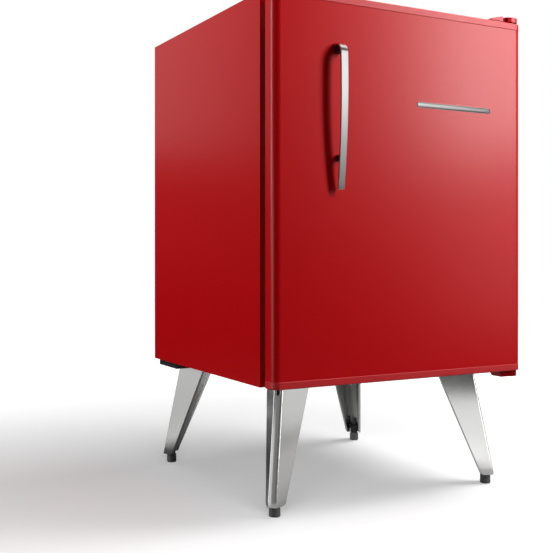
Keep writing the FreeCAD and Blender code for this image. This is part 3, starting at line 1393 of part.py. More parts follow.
def condenser():
    """Serpentine tube on the back, with upright wires on both its faces and four brackets."""
    y, half, pitch = value(CONDENSER_Y), value(CONDENSER_HALF), value(CONDENSER_PITCH)
    low, rows = value(CONDENSER_LOW), round(value("condenser_rows"))
    points = [V(half, y, low - pitch)]
    for row in range(rows):
        side = -1 if row % 2 else 1
        points.append(V(side * half, y, low + row * pitch))
        points.append(V(-side * half, y, low + row * pitch))
    points.append(V(-side * half, y, low + rows * pitch))
    radius = value("condenser_tube_radius")
    made("condenser_tube", tube(points, pitch / 2 - value("condenser_bend_gap"), radius))
    wire, count = value("wire_radius"), round(value("wire_count"))
    overhang = value("wire_overhang")
    length = (rows - 1) * pitch + 2 * overhang
    first_x, gap = pitch - half, 2 * (half - pitch) / (count - 1)
    wires = []
    for number in range(count):
        for face in (-1, 1):
            foot_point = V(first_x + number * gap, y + face * (radius + wire), low - overhang)
            wires.append(Part.makeCylinder(wire, length, foot_point))
    made("condenser_wires", *wires)
    pieces = []
    width = value("bracket_width")
    panel = value(f"{BACK_INNER} + case_sheet")
    for side in (-1, 1):
        x = side * value(f"{HALF} - bracket_inset")
        for row in (1, rows - 2):
            corner = V(x - width / 2, panel, low + row * pitch - width / 2)
            pieces.append(Part.makeBox(width, y - radius - panel, width, corner))
    made("condenser_brackets", *pieces)


def drier_and_pipes():
    """Filter drier that stands in the bay, and the lines between compressor, condenser and evaporator."""
    x, y = value(f"{HALF} - drier_inset"), value(f"{BAY_FRONT} + drier_gap")
    length, ceiling = value("drier_length"), value(BAY_TOP)
    low = ceiling - value("liquid_line") - length
    made("filter_drier", Part.makeCylinder(value("drier_radius"), length, V(x, y, low)))
    bore, bend = value("pipe_radius"), value("pipe_bend")
    start, centre = value("compressor_radius + seat_gap"), value(COMPRESSOR_Y)
    discharge_z = value(f"{SHELL_LOW} + discharge_height")
    suction_z = discharge_z + value("pipe_rise")
    line_y, half = value(CONDENSER_Y), value(CONDENSER_HALF)
    discharge_x, suction_x = x - value("discharge_inset"), x - value("suction_inset")
    discharge = tube([V(start, centre, discharge_z), V(discharge_x, centre, discharge_z),
                      V(discharge_x, line_y, discharge_z), V(half, line_y, discharge_z),
                      V(half, line_y, value(f"{CONDENSER_LOW} - {CONDENSER_PITCH}"))], bend, bore)
    suction = tube([V(start, centre, suction_z), V(suction_x, centre, suction_z),
                    V(suction_x, centre, ceiling)], bend, bore)
    liquid = Part.makeCylinder(bore / 2, value("liquid_line"), V(x, y, low + length))
    made("refrigerant_lines", discharge, suction, liquid)


# ---------------------------------------------------------------- assembly
outer_case()
bottom_panel()
back_panel()
cabinet_foam()
inner_liner()
for name, height in (("upper", SHELF_UPPER), ("lower", SHELF_LOWER)):
    shelf(f"shelf_{name}", height)
    shelf_trim(f"shelf_{name}_trim", height)
freezer_box()
freezer_hangers()
freezer_flap()
drip_tray()
thermostat_housing()
thermostat_knob()
thermostat_tube()
door_skin()
door_liner()
door_foam()
door_gasket()
gasket_magnet()
door_cap("door_top_cap", SKIN_TOP, DOOR_TOP, DOOR_TOP)
door_cap("door_bottom_cap", DOOR_LOW, SKIN_LOW, DOOR_LOW)
hinge_bushes()
for row, name in enumerate(("lower", "middle", "upper")):
    door_bin(f"door_bin_{name}", row)
handle()
handle_standoff()
handle_screws()
badge_plate()
top_hinge_bracket()
bottom_hinge_bracket()
hinge_pins()
hinge_screws()
top_hinge_cover()
legs()
for name, (side, depth, angle) in CORNERS.items():
    foot(name, side, depth)
compressor_base()
compressor_shell()
compressor_mounts()
terminal_cover()
cord_gland()
evaporation_pan()
drain_tube()
condenser()
drier_and_pipes()
doc.recompute()

# ---------------------------------------------------------------- checks and export
for thing in doc.Objects:
    faults = [state for state in thing.State if state in ("Invalid", "Error")]
    if faults:
        raise RuntimeError(f"{thing.Name} ({thing.Label}) is {faults}")
assert len({thing.Label for thing in nodes}) == len(nodes), "two sub-parts share a name"
os.makedirs("parts", exist_ok=True)
for thing in nodes:
    shape = thing.Shape
    if shape.isNull() or not shape.isValid() or not shape.Solids:
        raise RuntimeError(f"{thing.Label} has no valid solid")
    shape.exportStep(f"parts/{thing.Label}.step")
    volume = sum(solid.Volume for solid in shape.Solids)
    print(f"{thing.Label}: {len(shape.Solids)} solid(s), {volume:.0f} mm3")
print(len(nodes), "sub-parts")
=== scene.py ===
# %% [markdown]
# # A retro mini fridge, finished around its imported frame
# Cabinet, door, legs and cooling works come as one packed assembly. Every piece already stands in its
# place, in metres: +Z is up, the door looks along -Y and the hinges are on the +X side. This lesson gives
# each piece its real finish, and swaps plain solids for finer surfaces where the eye rests.

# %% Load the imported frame
import json
import math
import bmesh
import bpy
import numpy as np
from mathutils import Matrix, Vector


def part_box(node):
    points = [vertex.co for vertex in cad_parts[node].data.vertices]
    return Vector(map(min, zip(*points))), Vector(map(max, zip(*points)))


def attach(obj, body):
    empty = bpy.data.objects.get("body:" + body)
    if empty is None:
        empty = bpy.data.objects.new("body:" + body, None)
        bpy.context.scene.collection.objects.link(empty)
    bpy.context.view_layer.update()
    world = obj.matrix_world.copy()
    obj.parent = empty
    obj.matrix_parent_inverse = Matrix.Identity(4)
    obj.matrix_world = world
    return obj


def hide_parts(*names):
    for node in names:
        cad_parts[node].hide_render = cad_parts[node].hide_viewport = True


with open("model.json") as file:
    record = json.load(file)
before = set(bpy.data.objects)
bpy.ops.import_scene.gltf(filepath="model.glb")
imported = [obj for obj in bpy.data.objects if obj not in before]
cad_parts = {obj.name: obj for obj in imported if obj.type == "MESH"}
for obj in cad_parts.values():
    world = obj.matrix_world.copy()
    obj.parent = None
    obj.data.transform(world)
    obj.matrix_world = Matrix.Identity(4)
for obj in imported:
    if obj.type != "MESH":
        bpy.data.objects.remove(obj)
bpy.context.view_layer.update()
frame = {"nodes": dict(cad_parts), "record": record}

nodes = frame["nodes"]
scene = bpy.context.scene

# %% [markdown]
# ## Where the eye stands
# Such a fridge is usually shown from the height of its handle's foot, a step to the left of the door,
# with the lens level so that upright edges stay upright. A level camera cannot tip down to the feet, so
# its picture plane is shifted instead, as in an architect's lens.

# %% Camera
CAMERA_PLACE = (-0.87553, -1.39628, 0.40459)
CAMERA_TURN = math.radians(-28.81)
CAMERA_LENS = 59.24
CAMERA_SHIFT = -0.047

camera = bpy.data.objects.new("camera", bpy.data.cameras.new("camera"))
scene.collection.objects.link(camera)
camera.location = CAMERA_PLACE
camera.rotation_euler = (math.radians(90), 0, CAMERA_TURN)
camera.data.lens, camera.data.shift_y = CAMERA_LENS, CAMERA_SHIFT
scene.camera = camera
scene.view_settings.view_transform = "Standard"
print("camera", [round(c, 3) for c in camera.location], "lens", CAMERA_LENS)

# %% [markdown]
# ## A small vocabulary for shader nodes
# Every finish is a graph of nodes, and a few helpers keep those graphs short. One places a node and
# fills or wires its sockets by name. Others stand for the nodes used most, and three open, close and
# place node groups, so that an effect such as edge wear is built once and then tuned in each material.

# %% Node helpers
def place(tree, kind, inputs=None, **settings):
    """Add a node, set its options, and give each named or numbered input a value or a link."""
    node = tree.nodes.new("ShaderNode" + kind)
    for name, setting in settings.items():
        setattr(node, name, setting)
    for name, given in (inputs or {}).items():
        if isinstance(given, bpy.types.NodeSocket):
            tree.links.new(given, node.inputs[name])
        else:
            node.inputs[name].default_value = given
    return node


def math_node(tree, operation, *given):
    """One arithmetic node; its inputs come in order and may be numbers or sockets."""
    return place(tree, "Math", dict(enumerate(given)), operation=operation).outputs[0]


def ramp(tree, given, low, high, to_low=0.0, to_high=1.0, kind="SMOOTHSTEP"):
    """Map a value from the range low..high to to_low..to_high, eased at both ends unless LINEAR."""
    inputs = {"Value": given, "From Min": low, "From Max": high, "To Min": to_low, "To Max": to_high}
    return place(tree, "MapRange", inputs, interpolation_type=kind).outputs["Result"]


def mixed(tree, factor, first, second):
    """Blend two colours by a factor."""
    return place(tree, "Mix", {0: factor, 6: first, 7: second}, data_type="RGBA").outputs[2]


def scaled(tree, colour, gain):
    """A colour times a number."""
    return place(tree, "VectorMath", {0: colour, "Scale": gain}, operation="SCALE").outputs["Vector"]


def noise(tree, vector, scale, detail, rough):
    """Fractal noise from 0 to 1, its scale in features per metre."""
    inputs = {"Vector": vector, "Scale": scale, "Detail": detail, "Roughness": rough}
    return place(tree, "TexNoise", inputs).outputs["Fac"]


def axis_of(tree, vector, axis):
    """One coordinate of a vector."""
    return place(tree, "SeparateXYZ", {0: vector}).outputs[axis]


def new_group(name, output, **inputs):
    """An empty group with one output. An input's default says its kind: a number, three or a colour."""
    tree = bpy.data.node_groups.new(name, "ShaderNodeTree")
    for label, default in inputs.items():
        kind = {float: "Float", tuple: "Vector"}.get(type(default), "Color")
        socket = tree.interface.new_socket(label, in_out="INPUT", socket_type="NodeSocket" + kind)
        if default is not None:
            socket.default_value = default
    kind = "Color" if output == "Color" else "Float"
    tree.interface.new_socket(output, in_out="OUTPUT", socket_type="NodeSocket" + kind)
    return tree, tree.nodes.new("NodeGroupInput").outputs, place(tree, "TexCoord").outputs


def close_group(tree, result):
    """Wire the result to the group's output and hand the group over."""
    tree.links.new(result, tree.nodes.new("NodeGroupOutput").inputs[0])
    print("group", tree.name)
    return tree


def use(tree, group, **inputs):
    """Place a group and fill its inputs."""
    return place(tree, "Group", inputs, node_tree=group).outputs[0]

print("node helpers ready")

# %% [markdown]
# ## Floor and studio
# The fridge stands on a pale sweep in a dim studio. To the lens the sweep is white and keeps the soft
# shadow. To the paint and the chrome it is a quiet grey that fades with distance, as when flags hold the
# light off it, so that the red stays deep at flat angles. In what the chrome reflects it is darker behind
# the fridge, a painted shadow, and lighter in a ring round it, a painted pool of light.

# %% Floor
def grey(level):
    """A plain grey of the given brightness."""
    return (level, level, level, 1.0)


def empty_tree(owner):
    """The owner's node tree with nothing in it."""
    owner.use_nodes = True
    owner.node_tree.nodes.clear()
    return owner.node_tree


FLOOR_HALF = 14.0
FLOOR_SEEN = grey(0.80)
FLOOR_NEAR, FLOOR_FAR = grey(0.23), grey(0.04)
# Glossy rays see painted light: darker behind the fridge as a painted shadow, lighter in a ring as a
# painted pool of light.
GLOSS_FRONT, GLOSS_REAR_SHADE, GLOSS_RING_LIGHT = grey(0.45), grey(0.20), grey(0.80)
REAR_FADE, RING_FADE, FAR_FADE = (0.10, 0.45), (0.74, 0.92), (0.7, 1.3)
LIFT_FADE, LIFT_LOW, LIFT_HIGH = (0.25, 2.0), 0.26, 1.0
AIR_LIGHT = 0.06

floor_mesh = bpy.data.meshes.new("floor")
floor_corners = np.array([(-1, -1, 0), (1, -1, 0), (1, 1, 0), (-1, 1, 0)]) * FLOOR_HALF
floor_mesh.from_pydata(floor_corners.tolist(), [], [(0, 1, 2, 3)])
floor = bpy.data.objects.new("floor", floor_mesh)
scene.collection.objects.link(floor)

floor_material = bpy.data.materials.new("floor_sweep")
tree = empty_tree(floor_material)
ground = place(tree, "TexCoord").outputs["Object"]
reach = place(tree, "VectorMath", {0: ground}, operation="LENGTH").outputs["Value"]
rays = place(tree, "LightPath").outputs
seen = rays["Is Camera Ray"]
across = place(tree, "SeparateXYZ", {0: ground}).outputs
behind = math_node(tree, "SUBTRACT", across["Y"], across["X"])
# Painted shadow behind the fridge, then a painted pool of light in a ring round it, for glossy rays only.
gloss = mixed(tree, ramp(tree, behind, *REAR_FADE), GLOSS_FRONT, GLOSS_REAR_SHADE)
gloss = mixed(tree, ramp(tree, reach, *RING_FADE), gloss, GLOSS_RING_LIGHT)
near = mixed(tree, rays["Is Glossy Ray"], FLOOR_NEAR, gloss)
unseen = mixed(tree, ramp(tree, reach, *FAR_FADE), near, FLOOR_FAR)
diffuse = place(tree, "BsdfDiffuse", {"Color": mixed(tree, seen, unseen, FLOOR_SEEN)})
lift = math_node(tree, "MULTIPLY", seen, ramp(tree, reach, *LIFT_FADE, LIFT_LOW, LIFT_HIGH))
glow = place(tree, "Emission", {"Color": grey(1), "Strength": lift})
both = place(tree, "AddShader", {0: diffuse.outputs[0], 1: glow.outputs[0]})
place(tree, "OutputMaterial", {"Surface": both.outputs[0]})
floor_mesh.materials.append(floor_material)
print("floor", FLOOR_HALF * 2, "m across")

# %% Studio air
scene.world = bpy.data.worlds.new("studio")
tree = empty_tree(scene.world)
seen = place(tree, "LightPath").outputs["Is Camera Ray"]
strength = math_node(tree, "ADD", AIR_LIGHT, math_node(tree, "MULTIPLY", seen, 1 - AIR_LIGHT))
backdrop = place(tree, "Background", {"Color": grey(1), "Strength": strength})
place(tree, "OutputWorld", {"Surface": backdrop.outputs[0]})
print("world", scene.world.name)

# %% [markdown]
# ## Light
# A tall softbox at the right front washes the hinge side of the door, and a low one gives it a sheen.
# One high on the right throws the soft shadow, and one behind on the left lifts the cabinet's side. Small
# wash lamps brighten the top of the door and of the side, and an edge lamp draws the bright line down the
# door's rounded edge. The floor has two lamps of its own, and cards stand round about for the chrome,
# which shows whatever is beside it. A studio keeps each lamp to its subject with flags. Here light
# linking does it: a lamp lights the pieces in its group, or, where they are exceptions, all but those.

# %% Groups of pieces that share lamps
lit = {name: bpy.data.collections.new(name) for name in (
    "leg_metal", "strip_metal", "door_paint", "paint", "ground", "shaded", "beside_door", "off_floor")}


def leave_out(thing, *groups):
    """Make a piece an exception in groups, so that the groups' lamps do not light it."""
    for group in groups:
        lit[group].objects.link(thing)
        lit[group].collection_objects[-1].light_linking.link_state = "EXCLUDE"


lit["ground"].objects.link(floor)
leave_out(floor, "shaded", "beside_door", "off_floor")
print(len(lit), "groups")

# %% Softboxes and cards
def softbox(name, place_at, aim_at, width, height, radiance, group=None, passed_by=None):
    """A rectangular lamp that faces a point. Its power is its radiance times its area times pi. Rays of
    the kind in passed_by do not see it."""
    lamp = bpy.data.lights.new(name, "AREA")
    lamp.shape = "RECTANGLE"
    lamp.size, lamp.size_y = width, height
    lamp.energy = radiance * width * height * math.pi
    box = bpy.data.objects.new(name, lamp)
    scene.collection.objects.link(box)
    box.location = place_at
    box.rotation_euler = (Vector(aim_at) - box.location).to_track_quat("-Z", "Y").to_euler()
    box.visible_camera = False
    if passed_by:
        setattr(box, "visible_" + passed_by, False)
    if group:
        box.light_linking.receiver_collection = lit[group]


LAMPS = (
    ("door_softbox", (1.27, -1.42, 1.27), (0.1, -0.2, 0.75), 0.38, 1.05, 21.5, "beside_door"),
    ("shadow_softbox", (1.2, -0.1, 2.2), (0, 0, 0.3), 1.3, 1.3, 5.8, "shaded"),
    ("low_softbox", (1.50, -1.50, 0.55), (0.2, -0.2, 0.5), 0.5, 0.8, 3.0, "beside_door", "diffuse"),
    ("wash_softbox", (0.62, -1.04, 1.38), (0.15, -0.22, 1.20), 0.26, 0.26, 46, "paint", "glossy"),
    ("side_wash", (-0.75, -0.15, 1.40), (-0.24, -0.05, 0.85), 0.4, 0.4, 3.2, "paint", "glossy"),
    ("side_softbox", (-2.0, 0.6, 1.35), (-0.2, 0.05, 0.6), 0.8, 1.7, 8.2, "off_floor"),
    ("back_softbox", (-0.95, 1.95, 1.38), (-0.2, 0.0, 0.7), 0.8, 1.2, 0.66))
LEG_CARDS = (
    ("front_card", (0.215, -0.68, 0.08), (0.175, -0.18, 0.08), 0.26, 0.16, 0.98),
    ("right_card", (1.28, -0.57, 0.25), (0, 0, 0.25), 0.7, 0.5, 0.75),
    ("rear_card", (1.11, 1.00, 0.25), (0, 0, 0.25), 0.8, 0.5, 1.6),
    ("nose_card", (-1.02, -0.66, 0.30), (-0.19, -0.17, 0.2), 0.5, 0.6, 0.16),
    ("shoulder_card", (-0.67, -0.74, 0.15), (0, 0, 0.15), 0.35, 0.3, 0.6),
    ("line_card", (0.92, -1.32, 0.20), (-0.19, -0.17, 0.2), 0.30, 0.4, 12.0),
    ("edge_card", (-1.60, -0.06, 0.30), (0, 0, 0.3), 0.3, 0.6, 6.0))
STRIP_CARDS = (
    ("strip_card", (0.63, -1.42, 1.02), (-0.13, -0.25, 1.02), 0.8, 0.64, 1.35),
    ("tip_card", (0.63, -1.42, 0.52), (-0.13, -0.25, 0.52), 0.8, 0.36, 0.42),
    ("bend_card", (0.80, -0.30, 1.98), (-0.13, -0.25, 0.78), 0.9, 1.1, 1.1))
BACK_CARD = ("back_card", (-0.60, 0.38, 0.16), (-0.20, 0.20, 0.16), 0.36, 0.32, 0.58)
LAST_LAMPS = (
    ("edge_softbox", (-1.7, -0.1, 0.32), (-0.24, -0.2, 0.32), 0.8, 0.64, 2.9, "door_paint", "diffuse"),
    ("floor_softbox", (1.18, -0.35, 2.1), (0, 0, 0), 1.4, 1.4, 8.0, "ground"),
    ("floor_fill", (-0.7, -1.3, 0.5), (0, 0, 0), 1.6, 0.5, 8.0, "ground"))
cards = [(*card, "leg_metal", "diffuse") for card in LEG_CARDS]
cards += [(*card, "strip_metal", "diffuse") for card in STRIP_CARDS]
cards.append((*BACK_CARD, "leg_metal", "diffuse"))
for row in (*LAMPS, *cards, *LAST_LAMPS):
    softbox(*row)
print(len(LAMPS + LAST_LAMPS), "softboxes and", len(cards), "cards")

# %% [markdown]
# ## Effects that several finishes share
# Real sheet, plastic and plating are never one flat colour. Five small effects, each a node group, give
# them life: slow patches of tone, a roughness that wanders as on a wiped surface, a fine grain that only
# highlights show, worn edges, and dust on what faces up. They read object coordinates, so they stay put.

# %% Patches of tone
def build_patches():
    """Colour times one plus or minus the strength, in soft patches about 1 / Scale metres wide."""
    tree, given, where = new_group("patches", "Color", Color=None, Scale=12.0, Strength=0.08)
    tone = math_node(tree, "SUBTRACT", noise(tree, where["Object"], given["Scale"], 4.0, 0.6), 0.5)
    swing = math_node(tree, "MULTIPLY", given["Strength"], 2.0)
    gain = math_node(tree, "MULTIPLY_ADD", tone, swing, 1.0)
    return close_group(tree, scaled(tree, given["Color"], gain))


patches = build_patches()

# %% Wiped surface
def build_wiped():
    """Roughness between Low and High: long faint strokes mixed with small smudges."""
    tree, given, where = new_group("wiped", "Roughness", Low=0.2, High=0.3, Scale=9.0)
    strokes = place(tree, "Mapping", {"Vector": where["Object"], "Scale": (1.0, 1.0, 0.22)}).outputs[0]
    fine = math_node(tree, "MULTIPLY", given["Scale"], 7.0)
    strokes = math_node(tree, "MULTIPLY", noise(tree, strokes, given["Scale"], 3.0, 0.55), 0.7)
    smudges = math_node(tree, "MULTIPLY", noise(tree, where["Object"], fine, 3.0, 0.6), 0.3)
    both = math_node(tree, "ADD", strokes, smudges)
    return close_group(tree, ramp(tree, both, 0.3, 0.7, given["Low"], given["High"], "LINEAR"))


wiped = build_wiped()

# %% Fine grain
def build_grain():
    """Height from 0 to 1: noise stretched by a vector, for orange peel, pebble or rolled sheet."""
    tree, given, where = new_group("grain", "Height", Scale=400.0, Stretch=(1, 1, 1))
    pulled = place(tree, "VectorMath", {0: where["Object"], 1: given["Stretch"]}, operation="MULTIPLY")
    return close_group(tree, noise(tree, pulled.outputs["Vector"], given["Scale"], 3.0, 0.55))


grain = build_grain()

# %% Worn edges and settled dust
def build_worn_edges():
    """Mask from 0 to 1 where the true normal leaves the rounded one, broken up by noise."""
    tree, given, where = new_group("worn_edges", "Mask", Width=0.002, Amount=0.5)
    true_normal = place(tree, "NewGeometry").outputs["Normal"]
    rounded = place(tree, "Bevel", {"Radius": given["Width"]}, samples=4).outputs[0]
    alike = place(tree, "VectorMath", {0: true_normal, 1: rounded}, operation="DOT_PRODUCT")
    edge = ramp(tree, alike.outputs["Value"], 0.995, 0.85)
    broken = ramp(tree, noise(tree, where["Object"], 130.0, 4.0, 0.7), 0.42, 0.62)
    mask = math_node(tree, "MULTIPLY", math_node(tree, "MULTIPLY", edge, broken), given["Amount"])
    return close_group(tree, mask)


def build_dust():
    """Mask from 0 to Amount on what faces up, thicker in soft drifts."""
    tree, given, where = new_group("dust", "Mask", Amount=0.2)
    up = ramp(tree, axis_of(tree, where["Normal"], "Z"), 0.4, 0.95)
    drifts = ramp(tree, noise(tree, where["Object"], 28.0, 5.0, 0.65), 0.3, 0.75)
    mask = math_node(tree, "MULTIPLY", math_node(tree, "MULTIPLY", up, drifts), given["Amount"])
    return close_group(tree, mask)


worn_edges, dust = build_worn_edges(), build_dust()

# %% [markdown]
# ## From effects to finishes
# One helper lays the effects onto a Principled shader in the order in which a factory does: colour in
# its patches, wear and dust over it, then roughness, then the grain as a bump. Each finish is one call,
# so its character is in its numbers. Whatever is the same all over goes onto the shader's own socket.

# %% One finish
DUST_COLOUR = (0.42, 0.40, 0.37, 1.0)
BUMP_HEIGHT = 0.001
finishes = {}


def finish(slot, name, colour, rough, patch, grain_of, stretch=(1, 1, 1), dusty=0.0, worn=None, **plain):
    """A material for a slot. rough is (low, high), patch is (scale, strength), grain_of is (scale,
    bump) and worn is (width, amount, grey)."""
    material = bpy.data.materials.new(name)
    material.use_nodes = True
    tree = material.node_tree
    shader = tree.nodes["Principled BSDF"]
    tone = use(tree, patches, Color=(*colour, 1.0), Scale=patch[0], Strength=patch[1])
    if worn:
        tone = mixed(tree, use(tree, worn_edges, Width=worn[0], Amount=worn[1]), tone, grey(worn[2]))
    if dusty:
        tone = mixed(tree, use(tree, dust, Amount=dusty), tone, DUST_COLOUR)
    height = use(tree, grain, Scale=grain_of[0], Stretch=stretch)
    bump = place(tree, "Bump", {"Height": height, "Strength": grain_of[1], "Distance": BUMP_HEIGHT})
    tree.links.new(tone, shader.inputs["Base Color"])
    tree.links.new(use(tree, wiped, Low=rough[0], High=rough[1]), shader.inputs["Roughness"])
    tree.links.new(bump.outputs[0], shader.inputs["Normal"])
    for label, setting in plain.items():
        shader.inputs[label.replace("_", " ")].default_value = setting
    finishes[slot] = material

print("ready to mix")

# %% [markdown]
# ## Red enamel and red plastic
# The cabinet and the door skin are sheet steel sprayed with a deep, slightly satin red, which levels out
# with a trace of orange peel. The door's end caps are moulded plastic in the same red: a touch lighter,
# duller, and with a tighter grain.

# %% Reds
ENAMEL = ((0.5, 0.0012, 0.0035), (0.285, 0.295), (5, 0.02), (260, 0.03))
finish("case_red", "red_enamel_case", *ENAMEL, Specular_IOR_Level=0.2)
finish("door_red", "red_enamel_door", *ENAMEL, Specular_IOR_Level=0.2)
finish("cap_red", "red_moulded_caps", (0.53, 0.005, 0.01), (0.4, 0.46), (20, 0.03), (900, 0.05),
       Specular_IOR_Level=0.45)
finish("hinge_red", "red_enamel_hinges", (0.5, 0.002, 0.005), (0.3, 0.36), (30, 0.03), (400, 0.04),
       Specular_IOR_Level=0.15)
print(sorted(finishes))

# %% [markdown]
# ## Bright metals
# The handle and the bar on the door are satin chrome. The legs are folded from polished sheet, which
# keeps the faint upright lines of the rolling mill. Screws and pins are plain bright steel, the back
# sheets are zinc-plated with a crystal spangle, and the cold plate inside is matt aluminium.

# %% Metals
finish("chrome", "satin_chrome", (0.78, 0.78, 0.77), (0.28, 0.33), (30, 0.03), (900, 0.03),
       (1, 1, 0.04), Metallic=1)
finish("leg_chrome", "polished_leg_sheet", (0.72, 0.72, 0.71), (0.13, 0.19), (25, 0.03), (1500, 0.03),
       (1, 1, 0.02), Metallic=1)
finish("steel", "bright_steel", (0.6, 0.6, 0.59), (0.25, 0.36), (60, 0.06), (1200, 0.04),
       Metallic=1)
finish("evaporator", "matt_aluminium", (0.74, 0.75, 0.76), (0.36, 0.46), (30, 0.05), (700, 0.05),
       (0.05, 1, 1), Metallic=1)
finish("copper", "drawn_copper", (0.72, 0.36, 0.21), (0.24, 0.4), (70, 0.18), (900, 0.03),
       (1, 1, 0.2), dusty=0.15, Metallic=1)
finish("zinc", "zinc_plate", (0.56, 0.57, 0.57), (0.34, 0.44), (14, 0.06), (500, 0.04), dusty=0.2,
       Metallic=1)
print(len(finishes), "finishes")

# %% Zinc spangle
def add_spangle(material):
    """Zinc crystals: cells about 9 mm wide, each with its own tone."""
    tree = material.node_tree
    colour = tree.nodes["Principled BSDF"].inputs["Base Color"]
    where = place(tree, "TexCoord").outputs["Object"]
    cells = place(tree, "TexVoronoi", {"Vector": where, "Scale": 110.0}).outputs["Color"]
    tone = ramp(tree, axis_of(tree, cells, "X"), 0.0, 1.0, 0.82, 1.12)
    tree.links.new(scaled(tree, colour.links[0].from_socket, tone), colour)


add_spangle(finishes["zinc"])
print(finishes["zinc"].name, "has its crystals")

# %% [markdown]
# ## Dark works below and behind
# The machine bay is all black: an enamelled base plate, a compressor can in a coarse enamel, the wire
# condenser dipped in black, and moulded plastic for the pan, the terminal cover and the clips. All gather
# dust on their tops, and the base plate's enamel wears to a dull grey on its edges.

# %% Blacks and greys
finish("base_black", "black_enamel_base", (0.022, 0.022, 0.023), (0.36, 0.5), (16, 0.12), (500, 0.06),
       dusty=0.18, worn=(0.0015, 0.5, 0.16))
finish("compressor_black", "black_enamel_shell", (0.02, 0.02, 0.022), (0.3, 0.44), (25, 0.15),
       (350, 0.12), dusty=0.22)
finish("condenser_black", "black_dipped_wire", (0.024, 0.024, 0.025), (0.34, 0.46), (60, 0.15),
       (700, 0.06), dusty=0.3)
finish("insert_black", "black_moulding", (0.025, 0.025, 0.026), (0.42, 0.55), (40, 0.1), (1100, 0.08),
       dusty=0.1)
finish("foot_rubber", "grey_rubber", (0.13, 0.132, 0.134), (0.5, 0.64), (90, 0.1), (1300, 0.1),
       dusty=0.1)
# The seal is dark rubber; its red tint is a painted reflection of the red door beside it.
finish("gasket_rubber", "dark_seal_painted_red_reflection", (0.075, 0.004, 0.006), (0.45, 0.58), (60, 0.1), (1200, 0.06))
finish("magnet", "magnet_strip", (0.06, 0.06, 0.062), (0.6, 0.7), (80, 0.1), (900, 0.08))
print(len(finishes), "finishes")

# %% [markdown]
# ## White interior and clear pieces
# The liner is vacuum-formed from a white sheet with a soft gloss and a very fine leather grain. Shelf
# trims, flap and thermostat are harder mouldings in a warmer white. The bins and the drip tray are clear
# with a cold tint, the shelves toughened glass with a green body. The hidden insulation has its cells.

# %% Whites and clear pieces
finish("liner_white", "white_formed_liner", (0.8, 0.81, 0.81), (0.3, 0.38), (6, 0.015), (650, 0.05),
       Coat_Weight=0.15, Coat_Roughness=0.3)
finish("trim_white", "white_moulding", (0.8, 0.8, 0.785), (0.28, 0.36), (20, 0.02), (1000, 0.04))
finish("foam", "insulation_foam", (0.76, 0.66, 0.4), (0.8, 0.95), (35, 0.12), (320, 0.5))
finish("clear_bin", "clear_tinted_plastic", (0.86, 0.93, 0.95), (0.1, 0.16), (15, 0.02), (500, 0.03),
       Transmission_Weight=0.85, IOR=1.49)
finish("shelf_glass", "toughened_glass", (0.8, 0.93, 0.88), (0.02, 0.05), (8, 0.02), (200, 0.01),
       Transmission_Weight=1, IOR=1.52)

slots = {part["node"]: part["material_slot"] for part in frame["record"]["subparts"]}
for node, thing in nodes.items():
    thing.data.materials.clear()
    thing.data.materials.append(finishes[slots[node]])
print(len(slots), "nodes wear", len(set(slots.values())), "of", len(finishes), "finishes")

# %% [markdown]
# ## Surfaces from arrays
# Every new piece is a grid of points: rows run along it, columns run round it. A few array helpers, all
# in millimetres, are enough. They list the faces of a grid, round the corners of an outline, stack
# outlines into a tub or a block, and revolve a profile. A last helper joins the grids into a mesh in
# metres, welds its seams, turns its faces outwards and puts it on its body.

# %% Grid helpers
MM = 0.001
SMALLEST_RADIUS = 0.2


def span(node):
    """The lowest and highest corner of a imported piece: x0, y0, z0, x1, y1, z1."""
    return [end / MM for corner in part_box(node) for end in corner]


def middle(node):
    """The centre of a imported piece's box."""
    return np.reshape(span(node), (2, 3)).mean(0)


def quads(rows, columns, wrap=False):
    """Corner numbers of each face of a grid; wrap joins the last column to the first."""
    row = np.arange(rows - 1)[:, None] * columns
    column = np.arange(columns if wrap else columns - 1)[None, :]
    after = (column + 1) % columns
    corners = [row + column, row + after, row + columns + after, row + columns + column]
    return np.stack(corners, axis=-1).reshape(-1, 4).tolist()


def tube(rings, ends=True):
    """Closed surface through a stack of rings shaped (ring, point, 3), with a flat face on each end."""
    rows, columns, _ = rings.shape
    faces = quads(rows, columns, wrap=True)
    if ends:
        faces += [list(range(columns))[::-1], list(range((rows - 1) * columns, rows * columns))]
    return rings.reshape(-1, 3), faces


def rounded(corners, radii, steps=6):
    """Outline of a polygon with arcs for corners. Each arc touches both sides at radius / tan(half the
    corner's angle) from the corner and turns about a centre on the bisector."""
    corners = np.asarray(corners, float)
    radii = np.broadcast_to(np.asarray(radii, float), len(corners))[:, None]
    sides = [np.roll(corners, step, 0) - corners for step in (1, -1)]
    back, ahead = (side / np.linalg.norm(side, axis=1, keepdims=True) for side in sides)
    half = np.arccos(np.clip((back * ahead).sum(1, keepdims=True), -1, 1)) / 2
    bisector = (back + ahead) / np.linalg.norm(back + ahead, axis=1, keepdims=True)
    centre = corners + bisector * radii / np.sin(half)
    start, end = (corners + side * radii / np.tan(half) - centre for side in (back, ahead))
    first = np.arctan2(start[:, 1], start[:, 0])
    sweep = (np.arctan2(end[:, 1], end[:, 0]) - first + np.pi) % (2 * np.pi) - np.pi
    angle = first[:, None] + sweep[:, None] * np.linspace(0, 1, steps)
    arc = centre[:, None] + radii[:, None] * np.stack([np.cos(angle), np.sin(angle)], axis=-1)
    return arc.reshape(-1, 2)


def rectangle(x0, y0, x1, y1):
    """Corners of a rectangle in order."""
    return [(x0, y0), (x1, y0), (x1, y1), (x0, y1)]


def stacked(x0, y0, x1, y1, radius, levels, axis=2, steps=6):
    """Rings of a rounded rectangle in the two axes other than the given one. Each level is (inset,
    place along the axis); the corner radius shrinks by the inset."""
    rings = []
    for inset, along in levels:
        corners = rectangle(x0 + inset, y0 + inset, x1 - inset, y1 - inset)
        flat = rounded(corners, np.maximum(np.asarray(radius) - inset, SMALLEST_RADIUS), steps)
        rings.append(np.insert(flat, axis, along, axis=1))
    return np.array(rings)


